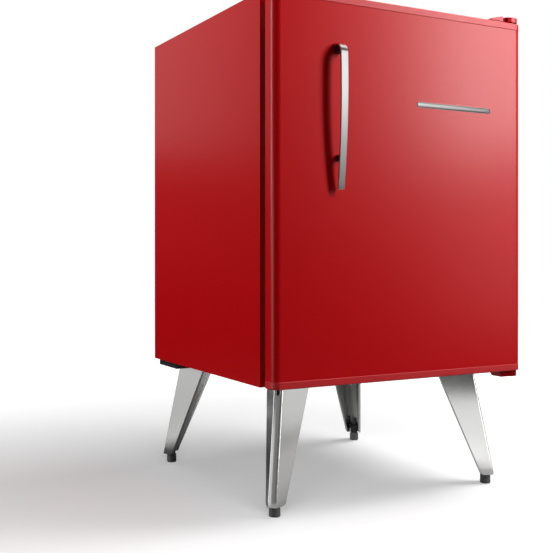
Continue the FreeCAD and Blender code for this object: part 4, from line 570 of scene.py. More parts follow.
def edge_round(radius, along, direction, steps=5):
    """Levels of a quarter-round edge that ends at the given place, coming from below."""
    turn = np.linspace(0, np.pi / 2, steps)
    return list(zip(radius * (1 - np.cos(turn)), along - direction * radius * (1 - np.sin(turn))))


def round_ends(radius, start, end):
    """Levels of a block with a quarter-round edge at each end."""
    return edge_round(radius, start, -1)[::-1] + edge_round(radius, end, 1)


def lathe(profile, centre, axis=2, around=40):
    """Profile of (radius, place along the axis) turned about a centre; the axis is 0, 1 or 2."""
    profile = np.asarray(profile, float)
    turn = np.linspace(0, 2 * np.pi, around, endpoint=False)
    parts = [profile[:, :1] * np.cos(turn), profile[:, :1] * np.sin(turn)]
    parts.insert(axis, np.broadcast_to(profile[:, 1:], parts[0].shape))
    return tube(np.stack(parts, axis=-1) + np.asarray(centre, float), ends=False)


def spin(degrees, plane=(0, 1)):
    """Matrix that turns rows of points by an angle in the plane of two axes."""
    turn, matrix = math.radians(degrees), np.eye(3)
    matrix[np.ix_(plane, plane)] = [[math.cos(turn), math.sin(turn)], [-math.sin(turn), math.cos(turn)]]
    return matrix

print("grid helpers ready")

# %% Make a piece from its surfaces
SOFT_EDGE, FLAT_ENOUGH = math.radians(28), math.radians(0.5)
WELD, WELD_PACKED = 1e-6, 2e-5
behaviour = frame["record"]["behaviour"]
body_of = {node: body for body, group in behaviour["bodies"].items() for node in group}


def even_normals(thing):
    """Lets the large faces set the normals, so a flat stays flat up to its rounded edge."""
    even = thing.modifiers.new("even_normals", "WEIGHTED_NORMAL")
    even.mode, even.weight, even.keep_sharp = "FACE_AREA", 50, True


def register(mesh, work, node, body, sharp):
    """Fill the mesh from the worked copy, finish it, and put it on its body as a new object. A piece
    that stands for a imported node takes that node's body and finish. An extra one is black moulding."""
    slot = slots[node] if node else "insert_black"
    body = body or body_of[node]
    work.to_mesh(mesh)
    work.free()
    mesh.shade_smooth()
    mesh.set_sharp_from_angle(angle=sharp)
    mesh.materials.append(finishes[slot])
    thing = bpy.data.objects.new(mesh.name, mesh)
    scene.collection.objects.link(thing)
    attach(thing, body)
    if node:
        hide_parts(node)
    print(thing.name, "on", body, len(mesh.polygons), "faces in", slot)
    return thing


def piece(name, surfaces, node=None, body=None, closed=True, sharp=32):
    """Join surfaces of (points, faces) into one mesh, weld it, turn it outwards and register it."""
    points, faces, start = [], [], 0
    for some_points, some_faces in surfaces:
        points.append(some_points)
        faces += [[corner + start for corner in face] for face in some_faces]
        start += len(some_points)
    mesh = bpy.data.meshes.new(name)
    mesh.from_pydata((np.concatenate(points) * MM).tolist(), [], faces)
    work = bmesh.new()
    work.from_mesh(mesh)
    bmesh.ops.remove_doubles(work, verts=work.verts, dist=WELD)
    bmesh.ops.dissolve_degenerate(work, edges=work.edges, dist=WELD)
    if closed:
        bmesh.ops.recalc_face_normals(work, faces=work.faces)
    thing = register(mesh, work, node, body, math.radians(sharp))
    if closed:
        even_normals(thing)
    return thing


def softened(node, width, segments=2, name=None):
    """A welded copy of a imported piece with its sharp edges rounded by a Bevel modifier."""
    work = bmesh.new()
    work.from_mesh(nodes[node].data)
    bmesh.ops.remove_doubles(work, verts=work.verts, dist=WELD_PACKED)
    bmesh.ops.dissolve_limit(work, angle_limit=FLAT_ENOUGH, verts=work.verts, edges=work.edges)
    mesh = bpy.data.meshes.new(name or node + "_soft")
    thing = register(mesh, work, node, None, SOFT_EDGE)
    bevel = thing.modifiers.new("edge", "BEVEL")
    bevel.width, bevel.segments = width * MM, segments
    bevel.limit_method, bevel.angle_limit, bevel.harden_normals = "ANGLE", SOFT_EDGE, True
    even_normals(thing)
    return thing

print("piece helpers ready")

# %% [markdown]
# ## Legs folded from sheet
# Each leg is one polished sheet folded into a V round the corner of the cabinet. Its nose is a narrow
# flat face between two tight bends, its wings widen upwards, a short hem stiffens each wing's edge, and a
# slot splits the nose at the top. A bevelled block could not show this, because the white lines on a
# chromed leg are its bends. So a level section, point by point along the sheet, is carried up the
# slanting nose. The other half is its mirror, and Solidify gives the sheet its thickness.

# %% Leg section
LEG_SHEET = 1.5
WING_ANGLE = math.radians(27.8)
WING_WAY = np.array([-math.cos(WING_ANGLE), math.sin(WING_ANGLE)])
HEM_WAY = np.array([-math.sin(WING_ANGLE), -math.cos(WING_ANGLE)])
WING_START = np.array([-2.769, 6.775])
NOSE_HALF, NOSE_BACK, NOSE_HOLLOW = 6.7, 0.8, 0.55
NOSE_BEND, HEM_BEND, HEM_REACH, BEND_ARM = 1.5, 1.2, 5.0, 9.0
WING_LOW, WING_HIGH, WING_CORNER = 20.0, 64.3, 3.0
NOSE_LOW, NOSE_HIGH = 15.2, -21.6
SLOT_HALF, SLOT_LOW = 2.4, 181.0


def bend(before, corner, after, radius, count):
    """Points of the arc that rounds a corner of a folded line."""
    return rounded([before, corner, after], [1e-6, radius, 1e-6], count)[count:2 * count]


def half_section():
    """Points along half the sheet, nose to hem: fixed offsets, and each point's share of the wing."""
    nose_corner = np.array([-NOSE_BACK, NOSE_HALF])
    nose_arc = bend((-NOSE_BACK, 0), nose_corner, nose_corner + WING_WAY * BEND_ARM, NOSE_BEND, 8)
    hem_arc = WING_START + bend(-WING_WAY * BEND_ARM, np.zeros(2), HEM_WAY * BEND_ARM, HEM_BEND, 7)
    run = np.linspace(0, 1, 9)[1:-1, None]
    wing = nose_arc[-1] * (1 - run) + hem_arc[0] * run
    hem = hem_arc[-1] + HEM_WAY * np.linspace(0, HEM_REACH - HEM_BEND, 5)[1:, None]
    offsets = np.concatenate([nose_arc, wing, hem_arc, hem])
    share = np.concatenate([np.zeros(len(nose_arc)), run[:, 0], np.ones(len(hem_arc) + len(hem))])
    return offsets, share

offsets, share = half_section()
print(len(offsets), "points from the nose bend to the hem")

# %% One leg
def leg_half(low, high, sign):
    """Half a leg in its own frame, its +X pointing out along the diagonal. At each height the nose
    stands at nose_low + (nose_high - nose_low) * rise, and the same rule gives the wing's length. The
    wing's lower corner is a quarter circle, and the slot's half circle splits the nose."""
    face = np.linspace(0, 1, 6)[:-1]
    past = np.clip(1 - WING_LOW * (1 - share) / WING_CORNER, 0, 1)
    lifted = WING_CORNER * (1 - np.sqrt(1 - past ** 2))
    foot_line = low + np.concatenate([np.zeros(len(face)), lifted])
    climb = np.concatenate([np.linspace(0, 0.88, 15), np.linspace(0.894, 0.912, 10), [0.93, 0.96, 1.0]])
    height = foot_line + (high - foot_line) * climb[:, None]
    rise = (height - low) / (high - low)
    nose = NOSE_LOW + (NOSE_HIGH - NOSE_LOW) * rise
    wing = WING_LOW + (WING_HIGH - WING_LOW) * rise
    into_slot = np.clip((height[:, :1] - SLOT_LOW) / SLOT_HALF, 0, 1)
    slot = SLOT_HALF * np.sqrt(1 - (1 - into_slot) ** 2)
    y_face = slot + (offsets[0, 1] - slot) * face
    x_face = -NOSE_BACK - NOSE_HOLLOW * (1 - (y_face / offsets[0, 1]) ** 2)
    reach = wing[:, len(face):, None] * share[:, None] * WING_WAY
    x = nose + np.concatenate([x_face, offsets[:, 0] + reach[..., 0]], axis=1)
    y = np.concatenate([y_face, offsets[:, 1] + reach[..., 1]], axis=1)
    return np.stack([x, sign * y, height], axis=-1)[:, ::sign]


def over_foot(corner, points):
    """Points in a leg's own frame, turned to its direction and moved over its foot."""
    return points @ spin(LEG_TURNS[corner]) + middle("foot_" + corner) * (1, 1, 0)


def leg(corner):
    """A leg over its foot: two open grids that meet on the nose."""
    node = "leg_" + corner
    low, high = span(node)[2::3]
    grids = [over_foot(corner, leg_half(low, high - 0.1, sign)) for sign in (1, -1)]
    halves = [(grid.reshape(-1, 3), quads(*grid.shape[:2])) for grid in grids]
    thing = piece(node + "_folded", halves, node, closed=False, sharp=50)
    lit["leg_metal"].objects.link(thing)
    wall = thing.modifiers.new("sheet", "SOLIDIFY")
    wall.thickness, wall.offset, wall.use_even_offset = LEG_SHEET * MM, -1, True
    even_normals(thing)


# The rear noses stand a little wide of the diagonal.
LEG_TURNS = {"front_left": 225, "front_right": 315, "rear_left": 139, "rear_right": 41}
for corner in LEG_TURNS:
    leg(corner)

# %% Nuts and blocks
def foot_nuts():
    """A turned boss at the bottom of each leg that takes the foot's stud."""
    low = span("leg_inserts")[2]
    profile = [(0, 0), (6.6, 0), (7.2, 0.6), (7.2, 11.4), (6.6, 12), (4.6, 12), (4.6, 17), (4.2, 17.4),
               (0, 17.4)]
    bosses = [lathe(profile, (*middle("foot_" + corner)[:2], low), around=32) for corner in LEG_TURNS]
    piece("foot_nuts", bosses, "leg_inserts")


def leg_shade_blocks():
    """Painted shade: a dark block behind each leg's nose, up against the cabinet, seen through the slot.
    """
    surfaces = []
    for corner in LEG_TURNS:
        top = span("leg_" + corner)[5]
        rings = stacked(-34, -8, -23.5, 8, 1.5, [(1, top - 24), (0, top - 23), (0, top - 0.2)])
        surfaces.append(tube(over_foot(corner, rings)))
    piece("leg_shade_blocks", surfaces, body="cabinet")


# The leg blocks are painted shade: dark pieces where the slot in each nose shows only shade.
foot_nuts()
leg_shade_blocks()

# %% [markdown]
# ## Levelling feet
# Each foot is a grey rubber cup moulded over a threaded stud that turns to level the leg. A revolved
# profile gives the cup its soft lower edge and small recess, and the stud a thread of plain rings.

# %% Feet
CUP_HIGH, THREAD_STEP = 15.6, 0.5


def foot(corner):
    """Cup and threaded stud, turned about the foot's centre."""
    node = "foot_" + corner
    x0, _, z0, x1, _, z1 = span(node)
    radius, tall = (x1 - x0) / 2, z1 - z0
    centre = (*middle(node)[:2], z0)
    cup = [(0, 0.4), (radius * 0.62, 0.4), (radius * 0.66, 0), (radius - 1.2, 0), (radius - 0.5, 0.2),
           (radius - 0.1, 0.8), (radius, 1.6), (radius, 4), (radius * 0.985, 9),
           (radius * 0.98, CUP_HIGH - 1.2), (radius * 0.95, CUP_HIGH - 0.4), (radius * 0.88, CUP_HIGH),
           (0, CUP_HIGH)]
    ridges = np.arange(CUP_HIGH - 0.2, tall - 0.6, THREAD_STEP)
    thread = np.stack([np.where(np.arange(len(ridges)) % 2, 3.55, 3.95), ridges], axis=1)
    stud = [(0, ridges[0]), *thread.tolist(), (3.0, tall), (0, tall)]
    piece(node + "_cup", [lathe(cup, centre), lathe(stud, centre, around=20)], node, sharp=40)


for corner in LEG_TURNS:
    foot(corner)

# %% [markdown]
# ## Handle, post and bar
# The handle is one strip of chromed steel. It leaves the door square at the top, turns down in a quarter
# circle and runs in one very flat bow to a free, slightly narrower tip. A rounded rectangle is carried
# along that line, its width and direction worked out at each point. A short black post holds it below.
# The bar on the door is a plain half-round moulding with a crowned face.

# %% Handle
HANDLE_BOW, HANDLE_BEND, HANDLE_CREST_DROP = 1250, 16, 64
HANDLE_THICK, HANDLE_EDGE, HANDLE_TIP_WIDTH = 3, 0.9, 11.5
TIP_SHRINK, TIP_ROUND = 0.8, 0.5


def handle_line(x0, front, z0, x1, wall, z1):
    """Outer line of the strip, its outward directions and its widths, from door to tip. The bow is a
    circle about a centre far behind the door, and the bend is a small circle that touches it inside.
    A point on either is its centre + radius * outward."""
    crest, centre_y, bend_z = z1 - HANDLE_CREST_DROP, front + HANDLE_BOW, z1 - HANDLE_BEND
    bend_y = centre_y - math.sqrt((HANDLE_BOW - HANDLE_BEND) ** 2 - (bend_z - crest) ** 2)
    lean = math.atan2(bend_z - crest, centre_y - bend_y)
    fall = -math.asin((crest - z0) / HANDLE_BOW)
    angles = np.full(3, np.pi / 2), np.linspace(np.pi / 2, lean, 14), np.linspace(lean, fall, 40)[1:]
    up, turning, bowing = (np.stack([-np.cos(angle), np.sin(angle)], axis=1) for angle in angles)
    stub = np.stack([np.linspace(wall, bend_y, 4)[:-1], np.full(3, z1)], axis=1)
    line = np.concatenate([stub, (bend_y, bend_z) + HANDLE_BEND * turning,
                           (centre_y, crest) + HANDLE_BOW * bowing])
    share = np.clip((crest - line[:, 1:]) / (crest - z0), 0, 1)
    width = x1 - x0 + (HANDLE_TIP_WIDTH - (x1 - x0)) * share
    return line, np.concatenate([up, turning, bowing]), width


def handle():
    """Rounded rectangle carried along the handle's line; the last ring is drawn in to soften the tip."""
    wide = np.ptp(span("handle")[::3])
    line, outward, width = handle_line(*span("handle"))
    outline = rounded(rectangle(-wide / 2, -HANDLE_THICK, wide / 2, 0), HANDLE_EDGE, 5)
    x = middle("handle")[0] + outline[:, 0] * width / wide
    yz = line[:, None] + outward[:, None] * outline[None, :, 1:]
    rings = np.concatenate([x[..., None], yz], axis=-1)
    tip_centre = rings[-1:].mean(axis=1, keepdims=True)
    tip = tip_centre + (rings[-1:] - tip_centre) * TIP_SHRINK
    back = rings[-2] - rings[-1]
    rings[-1] += back / np.linalg.norm(back, axis=-1, keepdims=True) * TIP_ROUND
    return piece("handle_strip", [tube(np.concatenate([rings, tip]))], "handle")


bright = [handle()]

# %% Post, block and bar
def post():
    """Waisted post between door and strip, turned about its own axis."""
    x0, y0, _, x1, y1, _ = span("handle_standoff")
    radius, reach = (x1 - x0) / 2, y1 - y0
    waist = [(0, 0), (1, 0), (1, -0.08), (0.93, -0.16), (0.88, -0.5), (0.93, -0.86), (0.97, -0.97),
             (0, -0.97)]
    x, _, z = middle("handle_standoff")
    turned = lathe(np.array(waist) * (radius, reach), (x, y1, z), axis=1, around=28)
    piece("handle_post", [turned], "handle_standoff", sharp=40)


def return_block():
    """Dark block under the handle's return that keeps the strip square to the door."""
    x0, _, _, x1, y1, z1 = span("handle")
    levels = [(0, y1), (0, y1 - 12.5), (0.6, y1 - 13.5)]
    rings = stacked(x0 + 0.8, z1 - 14.5, x1 - 0.8, z1 - 3, 1.2, levels, 1)
    piece("handle_block", [tube(rings)], body="door")


def door_bar():
    """Crowned bar: rings of a straight line grown by a radius, whose height is a flat ellipse of it."""
    x0, y0, z0, x1, y1, z1 = span("badge_plate")
    radius, rise = (z1 - z0) / 2, (y1 - y0) * 0.97
    line_half = (x1 - x0) / 2 - radius
    grow = np.sin(np.linspace(0.5, 0, 9) * np.pi)[:, None] * radius
    turn = np.linspace(0, 2 * np.pi, 48, endpoint=False)
    x = np.sign(np.cos(turn)) * line_half * (np.abs(np.cos(turn)) > 1e-9) + grow * np.cos(turn)
    y = np.broadcast_to(y1 - rise * np.sqrt(1 - (grow / radius) ** 2), x.shape)
    rings = np.stack([x, y, grow * np.sin(turn)], axis=-1) + middle("badge_plate") * (1, 0, 1)
    return piece("door_bar", [tube(rings)], "badge_plate", sharp=60)


post()
return_block()
bright.append(door_bar())
for thing in bright:
    lit["strip_metal"].objects.link(thing)
    leave_out(thing, "shaded", "beside_door")

# %% [markdown]
# ## Door
# The skin is one sheet folded round the front with a soft radius on its two upright edges. A moulded cap
# closes it above and below, a little proud and rounded all along, which gives the thin bright lip at top
# and foot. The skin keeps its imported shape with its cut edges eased. The caps are stacked outlines.

# %% Door skin and caps
CAP_CORNERS, CAP_EDGE, CAP_SEAM = (13.8, 13.8, 0.8, 0.8), 2.5, 0.6


def door_cap(node, outer):
    """Stack of the door's outline from the seam to the outer face; outer is 1 above and -1 below."""
    x0, y0, z0, x1, y1, z1 = span(node)
    seam, face = (z0, z1)[::outer]
    levels = [(CAP_SEAM, seam), (0, seam + outer * CAP_SEAM)] + edge_round(CAP_EDGE, face, outer, 7)
    rings = stacked(x0, y0, x1, y1, CAP_CORNERS, levels, steps=9)
    return piece(node + "_moulded", [tube(rings)], node, sharp=40)


caps = [door_cap("door_top_cap", 1), door_cap("door_bottom_cap", -1)]
skin = softened("door_skin", 0.25, 2, "door_skin_folded")
for thing in caps + [skin]:
    lit["door_paint"].objects.link(thing)
    lit["paint"].objects.link(thing)

# %% [markdown]
# ## Cabinet and hinges
# The case is a folded wrap of painted steel, so its long edges are slightly rounded and catch the light.
# The upper hinge's cover and the lower hinge's plate are painted to match, with softer edges. A narrow
# Bevel modifier on a welded copy gives each its radius.

# %% Softened edges
SOFT_EDGES = {
    "outer_case": 0.7, "top_hinge_cover": 1.5, "bottom_hinge_bracket": 1.2, "terminal_cover": 2.0,
    "compressor_base": 0.8, "cord_gland": 1.0, "thermostat_housing": 2.5, "freezer_box": 0.4,
    "back_panel": 0.3}
SHELVES = ("shelf_upper", "shelf_lower")
soft = {node: softened(node, width, 3) for node, width in SOFT_EDGES.items()}
for node in ("outer_case", "top_hinge_cover", "bottom_hinge_bracket"):
    lit["paint"].objects.link(soft[node])
leave_out(soft["outer_case"], "beside_door")
leave_out(soft["bottom_hinge_bracket"], "shaded", "beside_door")
for shelf in SHELVES:
    softened(shelf, 0.8)

# %% [markdown]
# ## Inner liner
# The liner is vacuum-formed from one white sheet, so nothing in it is square. Its mouth rolls over the
# cabinet's front edge, and its floor steps up at the back over the compressor. The shell is a stack of
# rounded rectangles that run from the back along the outside, round the mouth and along the inside to the
# back again. Two pairs of ribs carry the shelves.

# %% Rings of a liner
def portal(rows, steps=7):
    """Rings across the Y axis. Each row is (half width, low Z, high Z, corner radius, Y)."""
    return np.array([np.insert(rounded(rectangle(-half, low, half, high), radius, steps), 1, y, axis=1)
                     for half, low, high, radius, y in rows])


def inset_rows(half, low, high, levels):
    """Rows for a portal from levels of (inset, corner radius, Y) within one opening."""
    return [(half - inset, low + inset, high - inset, radius, y) for inset, radius, y in levels]


SHEET_WALL, FLANGE, LINER_BEND, OUTWARD = 1.5, 12, 12, 1.3
STEP_FRONT, STEP_TOP = 32.9, 429.5


def quarter(from_along, from_across):
    """A quarter arc that leaves along the first direction and arrives along the second."""
    turn = np.linspace(0, np.pi / 2, 5)
    across = from_across + LINER_BEND * (1 - np.cos(turn))
    return zip(from_along + LINER_BEND * np.sin(turn), across)


def inner_shell():
    """Inside path of the liner as (half width, low Z, Y), and the same path offset outwards."""
    _, front, mouth_low, mouth_half, back, mouth_high = span("inner_liner")
    half, floor_z, ceiling = mouth_half - FLANGE, mouth_low + FLANGE, mouth_high - FLANGE
    lip = [(0.9, front), (0.35, front + 0.7), (0, front + 2.4), (0, front + 6)]
    path = [(half + inset, floor_z - inset, y) for inset, y in lip]
    path += [(half, z, y) for y, z in quarter(STEP_FRONT - LINER_BEND, floor_z)]
    path += [(half, z, y) for z, y in quarter(STEP_TOP - LINER_BEND, STEP_FRONT)]
    last = quarter(back - SHEET_WALL - LINER_BEND, 0)
    path += [(half - inset, STEP_TOP + inset, y) for y, inset in last]
    inside = [(wide, z, ceiling + wide - half, 10 + max(wide - half, -6), y) for wide, z, y in path]
    outside = [(wide + OUTWARD, z - OUTWARD, top + OUTWARD, radius + OUTWARD,
                min(max(y + OUTWARD, front + 1.5), back)) for wide, z, top, radius, y in inside]
    rim = inset_rows(mouth_half, mouth_low, mouth_high, [
        (0.6, 18, front + 1.5), (0, 18, front + 1.1), (0, 18, front + 0.5), (0.5, 17.5, front)])
    return tube(portal(outside[::-1] + rim + inside))


def pair(near, far, low, high, radius, levels):
    """Two blocks drawn out along Y that mirror each other, from near to far on either side."""
    return [tube(stacked(left, low, right, high, radius, levels, 1))
            for left, right in ((-far, -near), (near, far))]


ribs = []
for shelf in SHELVES:
    _, y0, z0, x1, y1, _ = span(shelf)
    ribs += pair(x1 - 8, x1 + 2.5, z0 - 6.2, z0 - 0.2, 2, round_ends(2, y0 + 1, y1 + 2))
piece("inner_liner_formed", [inner_shell()] + ribs, "inner_liner")

# %% [markdown]
# ## Door liner, gasket and bins
# The door's liner is formed from the same sheet. A ring-shaped dyke stands up from it, fits into the
# cabinet's mouth and carries the bins on small lugs. The gasket is a soft extrusion mitred into a frame:
# a thin foot, a bellows, and a wide hollow for the magnet. Each bin is a clear moulded tub with a rolled
# rim, a front that dips in the middle, and a hook at each end.

# %% Door liner
DYKE, DYKE_WIDE = (188.0, 255.5, 736.5), 16.0
FOAM_IN, FOAM_HALF = 6, 238
HOOK_UNDER, HOOK_THICK = 39.6, 4
BIN_ROWS = ("lower", "middle", "upper")


def dyke_rows(levels):
    """Rows round the dyke's outline from levels of (inset, Y)."""
    return inset_rows(*DYKE, [(inset, max(22 - inset, 6), y) for inset, y in levels])


def door_liner():
    """The liner as rings in a row: edge, flat, dyke, flat again. Lugs stand on the dyke's inside."""
    _, back, bottom, half, crest, top = span("door_liner")
    edge = [(0.6, 11.7, back), (0, 12, back + 0.5), (0, 12, back + 1), (0.6, 11.7, back + 1.5)]
    climb = [(-1.6, back + 1.5), (-0.5, back + 2.2), (0, back + 4), (1.2, crest - 6), (1.8, crest - 2.6),
             (3.4, crest - 0.7), (5.8, crest)]
    ends = [(DYKE_WIDE + 0.6, back + 2.2), (DYKE_WIDE + 2, back + 1.5)]
    descent = [(DYKE_WIDE - inset, y) for inset, y in climb[:1:-1]] + ends
    rings = portal(inset_rows(half, bottom, top, edge) + dyke_rows(climb + descent))
    lugs, levels = [], [(0, back + 1)] + edge_round(1.5, crest - 3, 1)
    for row in BIN_ROWS:
        bin_low, bin_half = span("door_bin_" + row)[2:4]
        hook = bin_low + HOOK_UNDER
        lugs += pair(bin_half - 4.6, bin_half + 2.4, hook - 4.2, hook - 0.2, 1.2, levels)
    piece("door_liner_formed", [tube(rings)] + lugs, "door_liner")


def door_foam():
    """A slab behind the liner with a rim that fills the dyke."""
    _, back, bottom, _, crest, top = span("door_liner")
    far = DYKE_WIDE - FOAM_IN
    rim = [(FOAM_IN, back + 0.4), (FOAM_IN, crest - 6), (far, crest - 6), (far, back + 0.4)]
    levels = [(6, back - 22), (0, back - 17), (0, back - 0.4)]
    slab = stacked(-FOAM_HALF, bottom + 0.4, FOAM_HALF, top - 0.4, 4, levels, 1)
    piece("door_foam_core", [tube(portal(dyke_rows(rim))), tube(slab)], "door_foam")


door_foam()
door_liner()

# %% Door gasket
GASKET_WIDE = 15.0


def door_gasket():
    """The gasket's section as (inset from its outer edge, Y), carried round the frame and joined up."""
    _, door, low, half, seal, high = span("door_gasket")
    one_side = [(1, door), (0.2, door + 2), (4.6, door + 3), (5.4, door + 4.6), (1.8, door + 6.2),
                (1.5, door + 8), (4.4, door + 9.4), (0.5, seal - 5.6), (0, seal - 4.4),
                (0, seal - 1.2), (0.3, seal - 0.4), (1, seal)]
    section = one_side + [(GASKET_WIDE - inset, y) for inset, y in one_side[::-1]] + one_side[:1]
    rows = inset_rows(half, low, high, [(inset, max(16 - inset, 1.5), y) for inset, y in section])
    piece("door_gasket_extruded", [tube(portal(rows), ends=False)], "door_gasket", sharp=60)


door_gasket()

# %% Door bins
def tub(x0, y0, x1, y1, radius, wall, floor_z):
    """Rings of a tub from its wall's section, up the outside and down the inside: (inset, height)."""
    return stacked(x0, y0, x1, y1, radius, [(inset, floor_z + up) for inset, up in wall])


def evenly(rings, count):
    """The same closed rings with their points spaced evenly along each ring."""
    even = []
    for ring in rings:
        closed = np.concatenate([ring, ring[:1]])
        along = np.concatenate([[0], np.cumsum(np.linalg.norm(np.diff(closed, axis=0), axis=1))])
        walk = np.linspace(0, along[-1], count, endpoint=False)
        even.append(np.stack([np.interp(walk, along, closed[:, axis]) for axis in range(3)], axis=-1))
    return np.array(even)


def smooth_step(share):
    """From 0 to 1 as 3 s squared minus 2 s cubed."""
    share = np.clip(share, 0, 1)
    return share ** 2 * (3 - 2 * share)


BIN_WALL = [(7.0, 0), (4.6, 0.6), (3.3, 2.4), (1.7, 58), (1.2, 60.4), (0.3, 61.2), (0, 62.2), (0, 64.6),
            (0.4, 65.6), (1.3, 66.0), (2.6, 66.0), (3.4, 65.5), (3.7, 64.4), (4.0, 58), (5.4, 5.4),
            (6.8, 3.2), (9.2, 2.4)]
BIN_DIP, DIP_FRONT, DIP_SIDE, RING_POINTS = 14, 26, 26, 260


def door_bin(row):
    """A drafted tub with a rolled rim and a hook at each end. Its front dips by drop * step(distance
    from the back) * step(distance from the ends) * share of the height."""
    node = "door_bin_" + row
    _, y0, z0, x1, y1, z1 = span(node)
    end = x1 - 5
    rings = evenly(tub(-end, y0, end, y1, 14, BIN_WALL, z0), RING_POINTS)
    ahead = smooth_step((rings[..., 1] - y1 + DIP_FRONT) / 20)
    aside = smooth_step((end - DIP_SIDE - np.abs(rings[..., 0])) / DIP_SIDE)
    rings[..., 2] -= BIN_DIP * ahead * aside * (rings[..., 2] - z0) / (z1 - z0)
    hook = z0 + HOOK_UNDER
    hooks = pair(end - 1.2, x1, hook, hook + HOOK_THICK, 1.2, round_ends(1.2, y0 + 2, y0 + 31.8))
    piece(node + "_moulded", [tube(rings)] + hooks, node)


for row in BIN_ROWS:
    door_bin(row)

# %% [markdown]
# ## Freezer flap, tray and shelf trims
# The flap is one moulding with a raised border and a finger lip under its middle. The tray hangs by two
# rims from rails under the freezer box. Each shelf's front edge wears a C-shaped channel drawn out along
# the glass.

# %% Freezer flap
def drawn_out(section, centre, steps):
    """A section in the YZ plane carried along X; each step is (x, scale about the section's centre)."""
    return tube(np.array([np.insert(centre + (section - centre) * scale, 0, x, axis=1)
                          for x, scale in steps]))


def freezer_flap():
    """Panel, border, lip and pins; the panel's front is stepped by the rings' insets."""
    x0, y0, z0, x1, y1, z1 = span("freezer_flap")
    left, right, hinge, back = x0 + 3, x1 - 3, z1 - 2.5, y1 - 1
    levels = edge_round(0.8, back, 1)[::-1] + edge_round(1.0, back - 3, -1)
    levels += [(7, back - 3), (8, back - 2.6), (9.5, back - 2.1), (12, back - 2)]
    panel = tube(stacked(left, z0, right, hinge, 5, levels, 1))
    corners = [(y0, z0), (back - 2, z0), (back - 2, z0 + 3), (y0, z0 + 3.4)]
    section = rounded(corners, [1.2, 0.2, 0.2, 1.2], 5)
    half_lip = [(40, 0.86), (39, 0.97), (37, 1)]
    steps = [(-x, scale) for x, scale in half_lip] + half_lip[::-1]
    lip = drawn_out(section, section.mean(0), [((left + right) / 2 + x, scale) for x, scale in steps])
    pin = [(0, x0), (1.9, x0), (2.4, x0 + 0.5), (2.4, x1 - 0.5), (1.9, x1), (0, x1)]
    pins = lathe(pin, (0, back - 0.5, hinge), axis=0, around=24)
    piece("freezer_flap_moulded", [panel, lip, pins], "freezer_flap")


freezer_flap()

# %% Drip tray
TRAY_WALL = [(7, 0), (4.2, 0.8), (2.8, 3), (0.5, 20.6), (0.2, 21.4), (0, 22.2), (0, 23.4), (0.5, 24),
             (2, 24), (2.5, 23.4), (2.8, 21), (5.2, 5.4), (6.6, 3.4), (9.4, 2.4)]
RIM_WIDE, RIM_EDGE = 6, 0.9


def drip_tray():
    """A drafted tub with two side rims."""
    x0, y0, z0, x1, y1, z1 = span("drip_tray")
    levels = round_ends(RIM_EDGE, y0 + 2, y1)
    rims = [tube(stacked(left, z1 - 2, left + RIM_WIDE, z1, RIM_EDGE, levels, 1))
            for left in (x0, x1 - RIM_WIDE)]
    bowl = tube(tub(x0 + 4, y0, x1 - 4, y1, 10, TRAY_WALL, z0))
    piece("drip_tray_moulded", [bowl] + rims, "drip_tray")


drip_tray()

# %% Shelf trims
def shelf_trim(shelf):
    """A C-shaped section in the YZ plane carried along X, its ends slightly drawn in."""
    node = shelf + "_trim"
    x0, y0, z0, x1, y1, z1 = span(node)
    _, glass_y, under, _, _, over = span(shelf)
    section = rounded([(y0, z0), (y1, z0 + 1.5), (y1, under - 0.05), (glass_y - 0.1, under - 0.05),
                       (glass_y - 0.1, over + 0.05), (y1, over + 0.05), (y1, z1 - 1.5), (y0, z1)],
                      [3, 0.6, 0.3, 0.2, 0.2, 0.3, 0.6, 3], 5)
    steps = [(x0, 0.94), (x0 + 0.8, 1), (x1 - 0.8, 1), (x1, 0.94)]
    channel = drawn_out(section, np.array([glass_y - 1, (under + over) / 2]), steps)
    piece(node + "_channel", [channel], node)


for shelf in SHELVES:
    shelf_trim(shelf)

# %% [markdown]
# ## Thermostat
# A fluted knob turns in a rounded housing. Its skirt is turned on a lathe, the flutes are a cosine round
# the rim, and a rib on the cap points at raised marks that grow longer towards the coldest setting.

# %% Knob and dial marks
FLUTES, FLUTE_DEPTH, KNOB_AROUND = 18, 0.045, 144
MARKS, DIAL_SWEEP = 8, 270


def thermostat_knob():
    """A lathe profile, its radius cut by depth * (1 - cos(flutes * turn)) / 2 on the grip, and a rib."""
    x0, front, _, x1, _, _ = span("thermostat_knob")
    radius, cap = (x1 - x0) / 2, front + 2
    base = cap + 14
    centre = middle("thermostat_knob") * (1, 0, 1)
    profile = [(0, base + 9.5), (2.9, base + 9.5), (2.9, base), (radius - 0.6, base),
               (radius, base - 0.6), (radius, base - 2.4), (0.93 * radius, base - 3.4),
               (0.90 * radius, base - 4.4), (0.87 * radius, cap + 2.4), (0.84 * radius, cap + 0.9),
               (0.76 * radius, cap + 0.1), (0.5 * radius, cap + 0.4), (0, cap + 0.5)]
    points, faces = lathe(profile, centre, axis=1, around=KNOB_AROUND)
    out = points - centre
    turn = np.arctan2(out[:, 2], out[:, 0])
    grip = np.zeros(len(profile))
    grip[7:10] = FLUTE_DEPTH
    cut = 1 - np.repeat(grip, KNOB_AROUND) * (1 - np.cos(FLUTES * turn)) / 2
    fluted = centre + out * np.stack([cut, np.ones_like(cut), cut], axis=-1)
    levels = [(0, cap + 1)] + edge_round(0.6, front, -1)
    pointer = stacked(centre[0] - 1, centre[2], centre[0] + 1, centre[2] + 0.78 * radius, 0.9, levels, 1)
    piece("thermostat_knob_fluted", [(fluted, faces), tube(pointer)], "thermostat_knob", sharp=50)


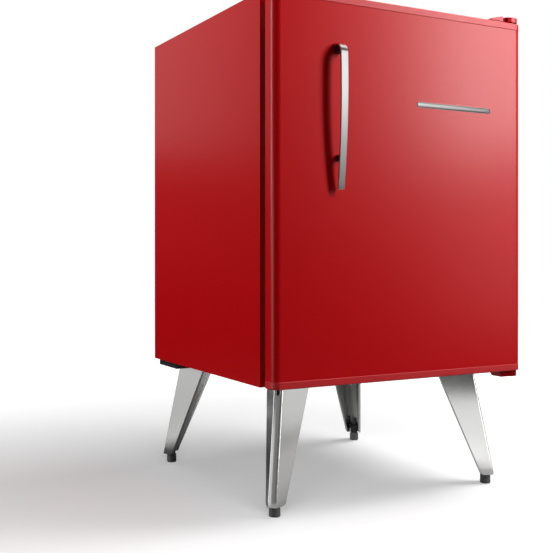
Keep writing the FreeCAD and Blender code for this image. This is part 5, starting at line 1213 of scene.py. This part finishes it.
def dial_marks():
    """Eight raised marks fanned round the knob; mark number n is 2 mm + 0.4 mm * n long."""
    face = span("thermostat_housing")[1]
    levels = [(0, face + 0.2)] + edge_round(0.2, face - 0.3, -1, 3)
    marks = []
    for number in range(MARKS):
        rings = stacked(19.4, -0.45, 21.4 + 0.4 * number, 0.45, 0.4, levels, 1, 4)
        turned = rings @ spin(90 - number * DIAL_SWEEP / (MARKS - 1), (0, 2))
        marks.append(tube(turned + middle("thermostat_knob") * (1, 0, 1)))
    piece("thermostat_marks", marks, body="cabinet")


thermostat_knob()
dial_marks()

# %% [markdown]
# ## Compressor
# The compressor is a welded can: a pressed bowl, a seam flange round its waist and a domed lid, turned on
# a lathe. It stands on a pressed foot plate. The pan above it catches melt water, which the can's warmth
# dries off.

# %% Compressor and pan
PAN_WALL = [(9, 0), (5, 0.5), (3, 2.4), (1.2, 13.4), (0.3, 14.2), (0, 15.0), (0.5, 15.8), (1.4, 16),
            (2.2, 15.6), (2.8, 13.8), (4.6, 3.6), (6.4, 2.0), (9.6, 1.5)]


def compressor():
    """Bowl, seam and dome as one lathe profile of (radius, height); the foot plate is stacked rings."""
    x0, y0, z0, x1, y1, z1 = span("compressor_shell")
    tall = z1 - z0
    seam = 0.52 * tall
    turn = np.linspace(0, np.pi / 2, 9)
    bowl = np.stack([46 + 16 * np.sin(turn), 22 - 20 * np.cos(turn)], axis=-1)
    dome = np.stack([40 + 22 * np.cos(turn), tall - 26 + 22 * np.sin(turn)], axis=-1)
    waist = [(62, seam - 1.6), (63.4, seam - 1.2), (64.4, seam), (64.4, seam + 2.2), (63.4, seam + 3.4),
             (62, seam + 3.8)]
    crown = [(34, tall - 2.6), (24, tall - 0.9), (12, tall - 0.2), (0, tall)]
    profile = np.concatenate([[(0, 2)], bowl, waist, dome, crown])
    can = lathe(profile, (0, (y0 + y1) / 2, z0), around=72)
    levels = round_ends(0.8, z0, z0 + 2.4) + [(22, z0 + 2.4), (24, z0 + 4)]
    plate = tube(stacked(x0, y0 + 18, x1, y1 - 18, 12, levels))
    piece("compressor_can", [can, plate], "compressor_shell")


def evaporation_pan():
    """A shallow pressed tub with a rolled rim."""
    x0, y0, z0, x1, y1, _ = span("evaporation_pan")
    piece("evaporation_pan_pressed", [tube(tub(x0, y0, x1, y1, 9, PAN_WALL, z0))], "evaporation_pan")


compressor()
evaporation_pan()
